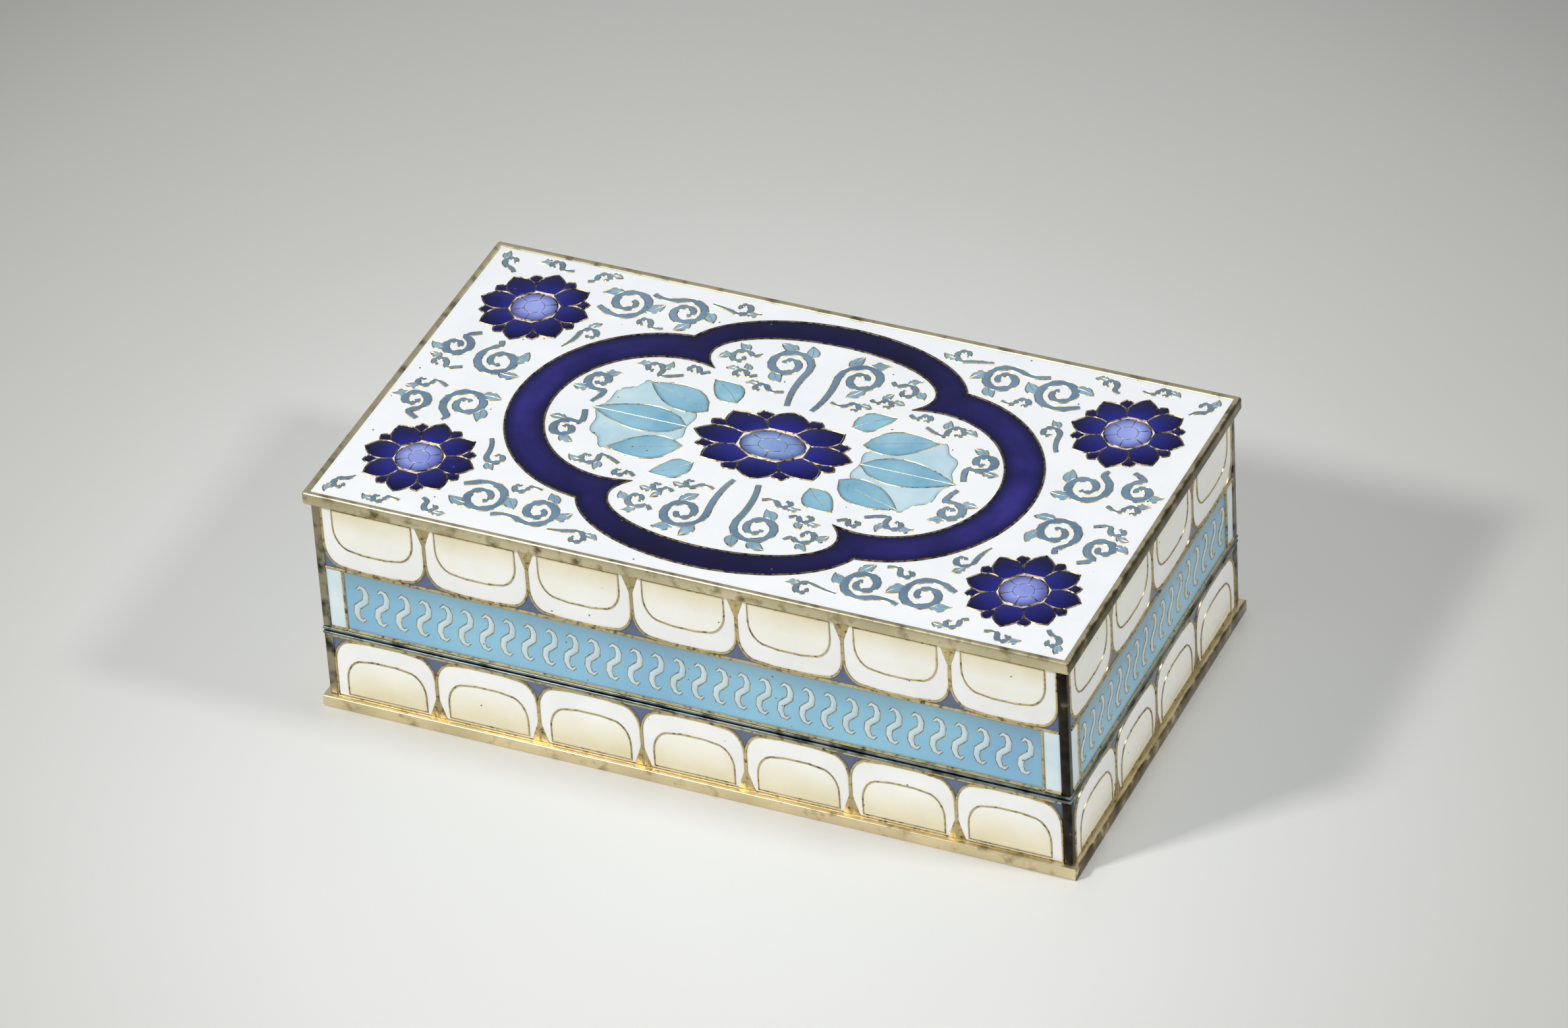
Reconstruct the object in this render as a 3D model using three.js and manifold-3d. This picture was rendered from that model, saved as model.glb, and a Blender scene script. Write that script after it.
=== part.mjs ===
// Rectangular cloisonné box with a lift-off cover: copper carcase, gilt rims, cloison wires and enamel cells.
// Millimetres, +Z up, +X along the length, origin at the middle of the underside.
import * as THREE from 'three';
import { mergeVertices } from 'three/addons/utils/BufferGeometryUtils.js';
import Module from 'manifold-3d';

const wasm = await Module();
wasm.setup();

// Overall sizes, over the gilt rims
const LENGTH = 110;
const WIDTH = 62;
const HEIGHT = 36;
const PARTING = 12.5; // height of the seat on which the cover sits

// Sheets and coats
const COPPER = 1; // copper wall, floor and top sheets
const ENAMEL = 0.8; // outer enamel, with the base coat under its wires
const BASE_COAT = 0.3; // first coat of enamel, under the wires
const LINING = 0.4; // counter-enamel inside and underneath
const JOIN = 0.05; // soldered or fused joint between fixed pieces
const RIM_PROUD = 0.9; // how far the arris and the foot stand out past the enamel of the sides
const PARTING_PROUD = 0.2; // and the two rims at the parting line

// Gilt rims and the collar
const TOP_RIM_HEIGHT = 2;
const TOP_RIM_WIDTH = 0.9;
const TOP_RIM_ROUND = 0.5; // radius of the polished arris
const TOP_RECESS = 0.15; // top enamel below the arris
const PARTING_RIM_HEIGHT = 0.45; // seat rim, and the rim at the mouth of the cover
const FOOT_HEIGHT = 1.8;
const FOOT_FLANGE_WIDTH = 4;
const FOOT_FLANGE = 0.75; // thickness of the flange that carries the floor
const LID_GAP = 0.3; // line between the closed cover and its seat
const COLLAR = 0.8; // thickness of the collar strip
const COLLAR_FIT = 0.25; // clearance between the collar and the inside of the cover
const COLLAR_RISE = 4; // collar above the seat
const COLLAR_SOCKET = 2.5; // collar below the seat

// Cloison wires
const WIRE = 0.55; // width of a wire, seen from outside
const WIRE_PROUD = 0.06; // wire above its enamel after polishing
const BORDER = 0.7; // width of the wires that border a panel above and below
const POST = 1.2; // width of the wires along the upright corners

// Lappet rows and the blue band of the sides
const BAND_HEIGHT = 10.2; // height of the blue band, above the mouth of the cover
const LAPPET_PITCH = 15.5; // aimed width of a lappet
const LAPPET_CORNER_WIDTH = 2.6; // rounded corner of a lappet's tip, along the side
const LAPPET_CORNER_HEIGHT = 3.6; // and up the side
const LAPPET_STRAIGHT = 1.4; // straight side of a lappet, from its corner to the notch
const NOTCH_WIDTH = 2.6; // gilt notch between two lappets, at the rim
const RULER_LAP = 0.35; // how far a lappet's tip runs into the ruler over it

// Four-lobed medallion, measured in from the edges of the box
const MEDALLION_END_INSET = 19.6; // end lobes, at the middle of the band
const MEDALLION_SIDE_INSET = 5.6; // long lobes, at the middle of the band
const MEDALLION_NOTCH_INSET_X = 36.5;
const MEDALLION_NOTCH_INSET_Y = 14.2;
const MEDALLION_BAND = 5.2; // width of the band with its two wires, at the end lobes
const MEDALLION_SIDE_BAND = 3.7; // and at the long lobes

// Flowers
const PETALS = 8;
const PETAL_VALLEY = 0.62; // radius between two petals, as a share of the flower's radius
const PETAL_SHOULDER = 0.86;
const PETAL_FULLNESS = 0.56; // where the shoulder lies between a petal's tip and its valley
const CORNER_FLOWER = 16; // across the petals
const CORNER_FLOWER_INSET_X = 11.4;
const CORNER_FLOWER_INSET_Y = 12.7;
const CORNER_HEART = 6.4;
const CENTRE_FLOWER_LENGTH = 23;
const CENTRE_FLOWER_WIDTH = 15.6;
const CENTRE_HEART = 6.2;

// Leaf sprays either side of the middle flower
const SPRAY_GAP = 1.4; // between the flower and its leaves
const SPRAY_END_GAP = 6.4; // between the leaves and the end of the medallion
const SPRAY_HALF_HEIGHT = 13;
const SPRAY_FAN_ANGLE = THREE.MathUtils.degToRad(100); // angle over which the leaves spread
const LEAVES = 5;
const LEAF_VALLEY = 0.8; // radius between two leaves, as a share of the radius at their tips
const LEAF_SHOULDER = 0.95;

const GILT = { color: 0xb89f62, roughness: 0.32, metalness: 1 };
const COPPER_SHEET = { color: 0xa86a48, roughness: 0.45, metalness: 1 };
const WHITE_ENAMEL = { color: 0xf0f0ea, roughness: 0.18, metalness: 0 };
const CREAM_ENAMEL = { color: 0xefe8cf, roughness: 0.18, metalness: 0 };
const SKY_ENAMEL = { color: 0x96bdd2, roughness: 0.18, metalness: 0 };
const COBALT_ENAMEL = { color: 0x1f2283, roughness: 0.16, metalness: 0 };
const PERIWINKLE_ENAMEL = { color: 0x96a5eb, roughness: 0.18, metalness: 0 };
const TURQUOISE_ENAMEL = { color: 0x64aabe, roughness: 0.2, metalness: 0 };

const HALF_X = LENGTH / 2;
const HALF_Y = WIDTH / 2;

// How far in from the rims each layer of the walls lies
const ENAMEL_INSET = RIM_PROUD;
const PARTING_INSET = ENAMEL_INSET - PARTING_PROUD;
const COPPER_INSET = ENAMEL_INSET + ENAMEL + JOIN;
const LINING_INSET = COPPER_INSET + COPPER + JOIN;
const INSIDE_INSET = LINING_INSET + LINING;
const COLLAR_INSET = INSIDE_INSET + COLLAR_FIT;

// Heights of the base
const FLOOR_BOTTOM = FOOT_FLANGE + JOIN;
const FLOOR_TOP = FLOOR_BOTTOM + COPPER;
const BASE_WALL_BOTTOM = FLOOR_TOP + JOIN;
const BASE_PANEL_BOTTOM = FOOT_HEIGHT + JOIN;
const BASE_WALL_TOP = PARTING - PARTING_RIM_HEIGHT - JOIN;

// Heights of the cover
const MOUTH = PARTING + LID_GAP;
const COVER_WALL_BOTTOM = MOUTH + PARTING_RIM_HEIGHT + JOIN;
const PLATE_BOTTOM = HEIGHT - TOP_RIM_HEIGHT;
const COVER_WALL_TOP = PLATE_BOTTOM - JOIN;
const TOP_SURFACE = HEIGHT - TOP_RECESS;
const TOP_ENAMEL = TOP_SURFACE - PLATE_BOTTOM - COPPER - JOIN;
const TOP_POCKET = TOP_ENAMEL - BASE_COAT;
const TOP_HALF_X = HALF_X - TOP_RIM_WIDTH - JOIN;
const TOP_HALF_Y = HALF_Y - TOP_RIM_WIDTH - JOIN;

const WIRE_POCKET = ENAMEL - BASE_COAT; // depth in which the side wires stand
const CURVE_STEPS = 6; // half the facets of a lobe of the medallion or of a flower's heart
const LAPPET_STEPS = 4; // facets of a corner of a lappet's tip
const SPANDREL_STEPS = 3; // facets of one edge between two tips
const ARRIS_STEPS = 4; // facets of the polished arris

const box = new THREE.Group();
const base = new THREE.Group();
const cover = new THREE.Group();
box.add(base, cover);

// Turns a closed geometry into a solid for joining and cutting.
function solid(geometry) {
  const bare = geometry.clone();
  bare.deleteAttribute('normal');
  bare.deleteAttribute('uv');
  const merged = mergeVertices(bare, 1e-5);
  return new wasm.Manifold(new wasm.Mesh({
    numProp: 3,
    vertProperties: new Float32Array(merged.attributes.position.array),
    triVerts: new Uint32Array(merged.index.array),
  }));
}

// Turns a joined or cut solid back into a geometry.
function geometryOf(body) {
  const mesh = body.getMesh();
  const geometry = new THREE.BufferGeometry();
  geometry.setAttribute('position', new THREE.BufferAttribute(mesh.vertProperties, 3));
  geometry.setIndex(new THREE.BufferAttribute(mesh.triVerts, 1));
  geometry.computeVertexNormals();
  return geometry;
}

function place(parent, name, geometry, finish) {
  const mesh = new THREE.Mesh(geometry, new THREE.MeshStandardMaterial(finish));
  mesh.name = name;
  parent.add(mesh);
  return mesh;
}

function union(solids) {
  return solids.reduce((joined, next) => joined.add(next));
}

// Straight-sided plate of an outline, from one height up by a depth.
function plate(shape, bottom, depth) {
  const settings = { depth, bevelEnabled: false, curveSegments: CURVE_STEPS };
  return new THREE.ExtrudeGeometry(shape, settings).translate(0, 0, bottom);
}

function slab(halfX, halfY, bottom, top) {
  const geometry = new THREE.BoxGeometry(2 * halfX, 2 * halfY, top - bottom);
  return geometry.translate(0, 0, (bottom + top) / 2);
}

function outline(points) {
  return new THREE.Shape(points.map(([x, y]) => new THREE.Vector2(x, y)));
}

// Strip with mitred corners round the rectangle of the box. The profile is a closed list of
// [inset, height] that runs up the outside, in along the top, down the inside and back.
function mitredStrip(profile) {
  const corners = [[1, -1], [1, 1], [-1, 1], [-1, -1]];
  const count = profile.length;
  const positions = [];
  for (const [signX, signY] of corners) {
    for (const [inset, height] of profile) {
      positions.push(signX * (HALF_X - inset), signY * (HALF_Y - inset), height);
    }
  }
  const triangles = [];
  corners.forEach((corner, side) => {
    const here = side * count;
    const next = ((side + 1) % corners.length) * count;
    for (let k = 0; k < count; k += 1) {
      const after = (k + 1) % count;
      triangles.push(here + k, next + k, next + after, here + k, next + after, here + after);
    }
  });
  const geometry = new THREE.BufferGeometry();
  geometry.setAttribute('position', new THREE.Float32BufferAttribute(positions, 3));
  geometry.setIndex(triangles);
  geometry.computeVertexNormals();
  return geometry;
}

// Open tray that lines a hollow: an outer block less an inner one that runs out of the open end.
function tray(outerInset, bottom, top, opensUp) {
  const outer = solid(slab(HALF_X - outerInset, HALF_Y - outerInset, bottom, top));
  const innerInset = outerInset + LINING;
  const innerBottom = opensUp ? bottom + LINING : bottom - LINING;
  const innerTop = opensUp ? top + LINING : top - LINING;
  const inner = solid(slab(HALF_X - innerInset, HALF_Y - innerInset, innerBottom, innerTop));
  return geometryOf(outer.subtract(inner));
}

// The four sides, each built as if it were the front and then turned about the middle of the box.
const SIDES = [
  { name: 'front', turn: 0, halfRun: HALF_X, distance: HALF_Y },
  { name: 'right', turn: Math.PI / 2, halfRun: HALF_Y, distance: HALF_X },
  { name: 'back', turn: Math.PI, halfRun: HALF_X, distance: HALF_Y },
  { name: 'left', turn: -Math.PI / 2, halfRun: HALF_Y, distance: HALF_X },
];

function sideGroup(parent, side) {
  const group = new THREE.Group();
  group.rotation.z = side.turn;
  parent.add(group);
  return group;
}

// Copper wall sheet with mitred ends.
function wall(side, bottom, top) {
  const outer = side.halfRun - COPPER_INSET - JOIN;
  const inner = outer - COPPER;
  const face = -(side.distance - COPPER_INSET);
  const plan = outline([[-outer, face], [outer, face], [inner, face + COPPER], [-inner, face + COPPER]]);
  return plate(plan, bottom, top - bottom);
}

// Mitres the two ends of a straight side piece: each end vertex moves in or out with its depth.
function mitreEnds(geometry, halfRun) {
  const vertices = geometry.attributes.position;
  for (let k = 0; k < vertices.count; k += 1) {
    const along = vertices.getX(k);
    const mitred = Math.sign(along) * (halfRun + vertices.getZ(k));
    if (Math.abs(along) > halfRun - JOIN / 2) vertices.setX(k, mitred);
  }
  return geometry;
}

function spread(from, to, steps) {
  return Array.from({ length: steps + 1 }, (_, k) => from + ((to - from) * k) / steps);
}

// Enamel cell of one lappet, with its foot on the border wire, rounded corners at its tip and a gilt
// notch cut from each lower corner.
function lappetCell(middle, pitch, tip, shrink) {
  const half = (pitch - WIRE) / 2 - shrink;
  const foot = BORDER + shrink;
  const crown = tip - WIRE - shrink;
  const notchTop = tip - WIRE - LAPPET_CORNER_HEIGHT - LAPPET_STRAIGHT + shrink;
  const right = [[half - NOTCH_WIDTH / 2, foot], [half, notchTop]];
  for (const angle of spread(0, Math.PI / 2, LAPPET_STEPS)) {
    right.push([
      half - LAPPET_CORNER_WIDTH * (1 - Math.cos(angle)),
      crown - LAPPET_CORNER_HEIGHT * (1 - Math.sin(angle)),
    ]);
  }
  const left = right.map(([along, rise]) => [-along, rise]).reverse();
  return [...right, ...left].map(([along, rise]) => [middle + along, rise]);
}

// Enamel cell between the corners of two lappets and the ruler over them. At the end of a row
// (`hand` 1 or -1) there is half a cell, beside the corner post.
function spandrelCell(joint, pitch, tip, shrink, hand) {
  const reachX = LAPPET_CORNER_WIDTH + WIRE + shrink;
  const reachY = LAPPET_CORNER_HEIGHT + WIRE + shrink;
  const centreX = LAPPET_CORNER_WIDTH + WIRE / 2; // of a corner, from the joint
  const centreY = tip - WIRE - LAPPET_CORNER_HEIGHT;
  const inner = hand ? WIRE / 2 + shrink : 0;
  const lid = tip - RULER_LAP - shrink;
  const lowest = Math.acos((centreX - inner) / reachX);
  const highest = Math.asin((lid - centreY) / reachY);
  const edge = spread(lowest, highest, SPANDREL_STEPS).map((angle) => [
    centreX - reachX * Math.cos(angle), centreY + reachY * Math.sin(angle),
  ]);
  if (hand) return [...edge, [inner, lid]].map(([along, rise]) => [joint + hand * along, rise]);
  const mirrored = edge.slice(1).reverse().map(([along, rise]) => [-along, rise]);
  return [...edge, ...mirrored].map(([along, rise]) => [joint + along, rise]);
}

// All cells of a lappet row, from the rim it grows from (rise 0) to the ruler over its tips.
function lappetRowCells(halfRun, tip, shrink) {
  const run = 2 * (halfRun - POST) + WIRE;
  const count = Math.max(2, Math.round(run / LAPPET_PITCH));
  const pitch = run / count;
  const cells = [];
  for (let k = 0; k < count; k += 1) cells.push(lappetCell((k + 0.5) * pitch - run / 2, pitch, tip, shrink));
  for (let k = 0; k <= count; k += 1) {
    const hand = Number(k === 0) - Number(k === count);
    cells.push(spandrelCell(k * pitch - run / 2, pitch, tip, shrink, hand));
  }
  return cells;
}

// The single long cell of the blue band.
function bandCell(halfRun, bottom, top, shrink) {
  const end = halfRun - POST - shrink;
  return [[-end, bottom + shrink], [end, bottom + shrink], [end, top - shrink], [-end, top - shrink]];
}

// One decorated side: a wire net with a window for each cell, and for each row an enamel panel, whose
// cells rise through the net from a shared base coat.
function decorateSide(parent, side, prefix, bottom, top, rows) {
  const halfRun = side.halfRun - ENAMEL_INSET - JOIN;
  const height = top - bottom;
  const group = sideGroup(parent, side);
  const hang = (name, geometry, finish) => {
    const mesh = place(group, `${prefix}_${name}_${side.name}`, mitreEnds(geometry, halfRun), finish);
    mesh.rotation.x = Math.PI / 2;
    mesh.position.set(0, -(side.distance - ENAMEL_INSET), bottom);
  };
  const face = (low, high) => outline([[-halfRun, low], [halfRun, low], [halfRun, high], [-halfRun, high]]);
  const windows = rows.flatMap((row) => row.cells(halfRun, 0))
    .map((cell) => solid(plate(outline(cell), -ENAMEL, 2 * ENAMEL)));
  const sheet = solid(plate(face(0, height), -WIRE_POCKET, WIRE_POCKET + WIRE_PROUD));
  hang('wires', geometryOf(sheet.subtract(union(windows))), GILT);
  for (const row of rows) {
    const coat = solid(plate(face(row.bottom, row.top), -ENAMEL, BASE_COAT - JOIN));
    const fills = row.cells(halfRun, JOIN).map((cell) => {
      const sunk = BASE_COAT / 2;
      return solid(plate(outline(cell), -WIRE_POCKET - sunk, WIRE_POCKET + sunk));
    });
    hang(row.name, geometryOf(union([coat, ...fills])), row.finish);
  }
}

// Four-lobed outline of the medallion: the outer (edge 1) or inner (edge -1) edge of its band, moved out
// by `grow`.
function medallionLine(edge, grow) {
  const growEnd = (edge * MEDALLION_BAND) / 2 + grow;
  const growSide = (edge * MEDALLION_SIDE_BAND) / 2 + grow;
  const notchX = HALF_X - MEDALLION_NOTCH_INSET_X;
  const notchY = HALF_Y - MEDALLION_NOTCH_INSET_Y;
  const endRise = HALF_X - MEDALLION_END_INSET - notchX;
  const sideRise = HALF_Y - MEDALLION_SIDE_INSET - notchY;
  const endRadius = (notchY ** 2 + endRise ** 2) / (2 * endRise);
  const sideRadius = (notchX ** 2 + sideRise ** 2) / (2 * sideRise);
  const endCentre = notchX + endRise - endRadius;
  const sideCentre = notchY + sideRise - sideRadius;
  const meet = circlesMeet(endCentre, endRadius + growEnd, sideCentre, sideRadius + growSide);
  const endAngle = Math.atan2(meet.y, meet.x - endCentre);
  const sideAngle = Math.atan2(meet.y - sideCentre, meet.x);
  const line = new THREE.Shape();
  line.absarc(endCentre, 0, endRadius + growEnd, -endAngle, endAngle, false);
  line.absarc(0, sideCentre, sideRadius + growSide, sideAngle, Math.PI - sideAngle, false);
  line.absarc(-endCentre, 0, endRadius + growEnd, Math.PI - endAngle, Math.PI + endAngle, false);
  line.absarc(0, -sideCentre, sideRadius + growSide, Math.PI + sideAngle, 2 * Math.PI - sideAngle, false);
  return line;
}

// Outer crossing of a circle centred on the X axis and one centred on the Y axis.
function circlesMeet(centreX, radiusX, centreY, radiusY) {
  const apart = Math.hypot(centreX, centreY);
  const alongX = (apart ** 2 + radiusX ** 2 - radiusY ** 2) / (2 * apart);
  const half = Math.sqrt(Math.max(0, radiusX ** 2 - alongX ** 2));
  const toY = new THREE.Vector2(-centreX, centreY).divideScalar(apart);
  const foot = new THREE.Vector2(centreX, 0).addScaledVector(toY, alongX);
  const across = new THREE.Vector2(toY.y, -toY.x);
  const crossings = [1, -1].map((sign) => foot.clone().addScaledVector(across, sign * half));
  return crossings.reduce((best, next) => (next.x + next.y > best.x + best.y ? next : best));
}

// Outline of a flower with pointed petals, moved out by `grow`.
function flowerLine(length, width, grow) {
  const step = (2 * Math.PI) / PETALS;
  const shoulder = PETAL_FULLNESS / 2;
  const petal = [[-0.5, PETAL_VALLEY], [-shoulder, PETAL_SHOULDER], [0, 1], [shoulder, PETAL_SHOULDER]];
  const points = [];
  for (let k = 0; k < PETALS; k += 1) {
    for (const [turn, radius] of petal) {
      const angle = (k + turn) * step;
      const point = new THREE.Vector2((length / 2) * Math.cos(angle), (width / 2) * Math.sin(angle));
      point.multiplyScalar(radius);
      points.push(point.setLength(point.length() + grow));
    }
  }
  return new THREE.Shape(points);
}

function oval(length, width, grow) {
  const line = new THREE.Shape();
  line.absellipse(0, 0, length / 2 + grow, width / 2 + grow, 0, 2 * Math.PI, false);
  return line;
}

function ring(outer, inner) {
  outer.holes.push(inner);
  return outer;
}

// Half wreath of leaves beside the middle flower, on its right (hand 1) or left (hand -1): leaf tips and
// valleys along the outside, a smooth edge round the flower inside. `grow` moves the outline out.
function sprayLine(hand, grow) {
  const reach = HALF_X - MEDALLION_END_INSET - MEDALLION_BAND / 2 - SPRAY_END_GAP;
  const step = SPRAY_FAN_ANGLE / LEAVES;
  const leaf = [[0, LEAF_VALLEY], [0.25, LEAF_SHOULDER], [0.5, 1], [0.75, LEAF_SHOULDER]];
  const points = [];
  const addPoint = (angle, length, height, share, margin) => {
    const radius = share / Math.hypot(Math.cos(angle) / length, Math.sin(angle) / height) + margin;
    points.push([hand * radius * Math.cos(angle), radius * Math.sin(angle)]);
  };
  const end = SPRAY_FAN_ANGLE / 2 + grow / SPRAY_HALF_HEIGHT;
  addPoint(-end, reach, SPRAY_HALF_HEIGHT, LEAF_VALLEY, grow);
  for (let k = 0; k < LEAVES; k += 1) {
    for (const [turn, share] of leaf) {
      const angle = (k + turn) * step - SPRAY_FAN_ANGLE / 2;
      if (k + turn > 0) addPoint(angle, reach, SPRAY_HALF_HEIGHT, share, grow);
    }
  }
  addPoint(end, reach, SPRAY_HALF_HEIGHT, LEAF_VALLEY, grow);
  const innerLength = CENTRE_FLOWER_LENGTH / 2 + SPRAY_GAP;
  const innerHeight = CENTRE_FLOWER_WIDTH / 2 + SPRAY_GAP;
  for (const angle of spread(end, -end, LEAVES)) addPoint(angle, innerLength, innerHeight, 1, -grow);
  return outline(points);
}

// Base: copper carcase
const floorSheet = slab(HALF_X - COPPER_INSET, HALF_Y - COPPER_INSET, FLOOR_BOTTOM, FLOOR_TOP);
place(base, 'base_floor', floorSheet, COPPER_SHEET);
for (const side of SIDES) {
  const group = sideGroup(base, side);
  place(group, `base_wall_${side.name}`, wall(side, BASE_WALL_BOTTOM, BASE_WALL_TOP), COPPER_SHEET);
}

// Base: gilt foot rim, seat rim and collar
place(base, 'base_foot_rim', mitredStrip([
  [0, 0], [0, FOOT_HEIGHT], [COPPER_INSET - JOIN, FOOT_HEIGHT], [COPPER_INSET - JOIN, FOOT_FLANGE],
  [FOOT_FLANGE_WIDTH, FOOT_FLANGE], [FOOT_FLANGE_WIDTH, 0],
]), GILT);
place(base, 'base_seat_rim', mitredStrip([
  [PARTING_INSET, PARTING - PARTING_RIM_HEIGHT], [PARTING_INSET, PARTING],
  [COLLAR_INSET - JOIN, PARTING], [COLLAR_INSET - JOIN, PARTING - PARTING_RIM_HEIGHT],
]), GILT);
place(base, 'base_collar', mitredStrip([
  [COLLAR_INSET, PARTING - COLLAR_SOCKET], [COLLAR_INSET, PARTING + COLLAR_RISE],
  [COLLAR_INSET + COLLAR, PARTING + COLLAR_RISE], [COLLAR_INSET + COLLAR, PARTING - COLLAR_SOCKET],
]), GILT);

// Base: counter-enamel inside and underneath
place(base, 'base_lining', tray(LINING_INSET, BASE_WALL_BOTTOM, BASE_WALL_TOP, true), TURQUOISE_ENAMEL);
const UNDERSIDE_INSET = FOOT_FLANGE_WIDTH + JOIN;
const UNDERSIDE_X = HALF_X - UNDERSIDE_INSET;
const UNDERSIDE_Y = HALF_Y - UNDERSIDE_INSET;
const underside = slab(UNDERSIDE_X, UNDERSIDE_Y, FOOT_FLANGE - LINING, FOOT_FLANGE);
place(base, 'base_underside_enamel', underside, TURQUOISE_ENAMEL);

// Base: lower lappet row, which grows up from the foot
const BASE_ROW = BASE_WALL_TOP - BASE_PANEL_BOTTOM;
for (const side of SIDES) {
  const lappets = {
    name: 'lappet_enamel',
    bottom: 0,
    top: BASE_ROW,
    finish: CREAM_ENAMEL,
    cells: (halfRun, shrink) => lappetRowCells(halfRun, BASE_ROW - BORDER + RULER_LAP, shrink),
  };
  decorateSide(base, side, 'base', BASE_PANEL_BOTTOM, BASE_WALL_TOP, [lappets]);
}

// Cover: copper carcase
const topSheet = slab(TOP_HALF_X, TOP_HALF_Y, PLATE_BOTTOM, PLATE_BOTTOM + COPPER);
place(cover, 'cover_top_plate', topSheet, COPPER_SHEET);
for (const side of SIDES) {
  const group = sideGroup(cover, side);
  place(group, `cover_wall_${side.name}`, wall(side, COVER_WALL_BOTTOM, COVER_WALL_TOP), COPPER_SHEET);
}

// Cover: gilt arris frame and the rim of its mouth
const arris = [];
for (let k = 0; k <= ARRIS_STEPS; k += 1) {
  const angle = (Math.PI / 2) * (k / ARRIS_STEPS);
  const inset = TOP_RIM_ROUND * (1 - Math.cos(angle));
  arris.push([inset, HEIGHT - TOP_RIM_ROUND + TOP_RIM_ROUND * Math.sin(angle)]);
}
place(cover, 'cover_top_rim', mitredStrip([
  [0, PLATE_BOTTOM], ...arris, [TOP_RIM_WIDTH, HEIGHT], [TOP_RIM_WIDTH, PLATE_BOTTOM],
]), GILT);
place(cover, 'cover_lower_rim', mitredStrip([
  [PARTING_INSET, MOUTH], [PARTING_INSET, MOUTH + PARTING_RIM_HEIGHT],
  [INSIDE_INSET, MOUTH + PARTING_RIM_HEIGHT], [INSIDE_INSET, MOUTH],
]), GILT);
place(cover, 'cover_lining', tray(LINING_INSET, COVER_WALL_BOTTOM, COVER_WALL_TOP, false), TURQUOISE_ENAMEL);

// Cover: upper lappet row, which hangs from the arris, over the blue band
const COVER_ROW = COVER_WALL_TOP - COVER_WALL_BOTTOM;
const LAPPET_ROW = COVER_ROW - BAND_HEIGHT;
for (const side of SIDES) {
  const band = {
    name: 'band_enamel',
    bottom: 0,
    top: BAND_HEIGHT - JOIN,
    finish: SKY_ENAMEL,
    cells: (halfRun, shrink) => [bandCell(halfRun, BORDER, BAND_HEIGHT - WIRE / 2, shrink)],
  };
  const lappets = {
    name: 'lappet_enamel',
    bottom: BAND_HEIGHT,
    top: COVER_ROW,
    finish: CREAM_ENAMEL,
    cells: (halfRun, shrink) => lappetRowCells(halfRun, LAPPET_ROW - WIRE / 2 + RULER_LAP, shrink)
      .map((cell) => cell.map(([along, rise]) => [along, COVER_ROW - rise])),
  };
  decorateSide(cover, side, 'cover', COVER_WALL_BOTTOM, COVER_WALL_TOP, [band, lappets]);
}

// Top: white ground with a pocket for each coloured motif
const corners = [
  { name: 'fl', x: -1, y: -1 }, { name: 'fr', x: 1, y: -1 },
  { name: 'br', x: 1, y: 1 }, { name: 'bl', x: -1, y: 1 },
].map((corner) => ({
  name: corner.name,
  x: corner.x * (HALF_X - CORNER_FLOWER_INSET_X),
  y: corner.y * (HALF_Y - CORNER_FLOWER_INSET_Y),
}));
const POCKET_BOTTOM = TOP_SURFACE - TOP_POCKET;
const MOTIF_BOTTOM = POCKET_BOTTOM + JOIN;
const MOTIF = TOP_SURFACE - MOTIF_BOTTOM;
const POCKET_CUT = TOP_POCKET + JOIN; // runs out past the surface
const cornerPocket = plate(flowerLine(CORNER_FLOWER, CORNER_FLOWER, JOIN), POCKET_BOTTOM, POCKET_CUT);
const pockets = [
  solid(plate(ring(medallionLine(1, JOIN), medallionLine(-1, -JOIN)), POCKET_BOTTOM, POCKET_CUT)),
  solid(plate(flowerLine(CENTRE_FLOWER_LENGTH, CENTRE_FLOWER_WIDTH, JOIN), POCKET_BOTTOM, POCKET_CUT)),
  ...[1, -1].map((hand) => solid(plate(sprayLine(hand, JOIN), POCKET_BOTTOM, POCKET_CUT))),
  ...corners.map(({ x, y }) => solid(cornerPocket.clone().translate(x, y, 0))),
];
const ground = solid(slab(TOP_HALF_X, TOP_HALF_Y, TOP_SURFACE - TOP_ENAMEL, TOP_SURFACE));
place(cover, 'top_ground_enamel', geometryOf(ground.subtract(union(pockets))), WHITE_ENAMEL);

// Top: the medallion's cobalt band between its two wires
const WIRE_STANDS = MOTIF + WIRE_PROUD;
place(cover, 'medallion_outer_wire',
  plate(ring(medallionLine(1, 0), medallionLine(1, -WIRE)), MOTIF_BOTTOM, WIRE_STANDS), GILT);
place(cover, 'medallion_inner_wire',
  plate(ring(medallionLine(-1, WIRE), medallionLine(-1, 0)), MOTIF_BOTTOM, WIRE_STANDS), GILT);
const COBALT_INSET = WIRE + JOIN;
const cobaltBand = ring(medallionLine(1, -COBALT_INSET), medallionLine(-1, COBALT_INSET));
place(cover, 'medallion_enamel', plate(cobaltBand, MOTIF_BOTTOM, MOTIF), COBALT_ENAMEL);

// Top: flowers, each a wire outline, cobalt petals and a paler heart
function flower(name, suffix, length, width, heart, x, y) {
  const heartLength = (heart * length) / width;
  const petals = ring(flowerLine(length, width, -WIRE - JOIN), oval(heartLength, heart, JOIN));
  const wire = ring(flowerLine(length, width, 0), flowerLine(length, width, -WIRE));
  const pieces = [
    ['wire', wire, WIRE_STANDS, GILT],
    ['enamel', petals, MOTIF, COBALT_ENAMEL],
    ['heart', oval(heartLength, heart, 0), MOTIF, PERIWINKLE_ENAMEL],
  ];
  for (const [part, shape, depth, finish] of pieces) {
    place(cover, `${name}_${part}${suffix}`, plate(shape, MOTIF_BOTTOM, depth), finish).position.set(x, y, 0);
  }
}
flower('centre_flower', '', CENTRE_FLOWER_LENGTH, CENTRE_FLOWER_WIDTH, CENTRE_HEART, 0, 0);
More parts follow.
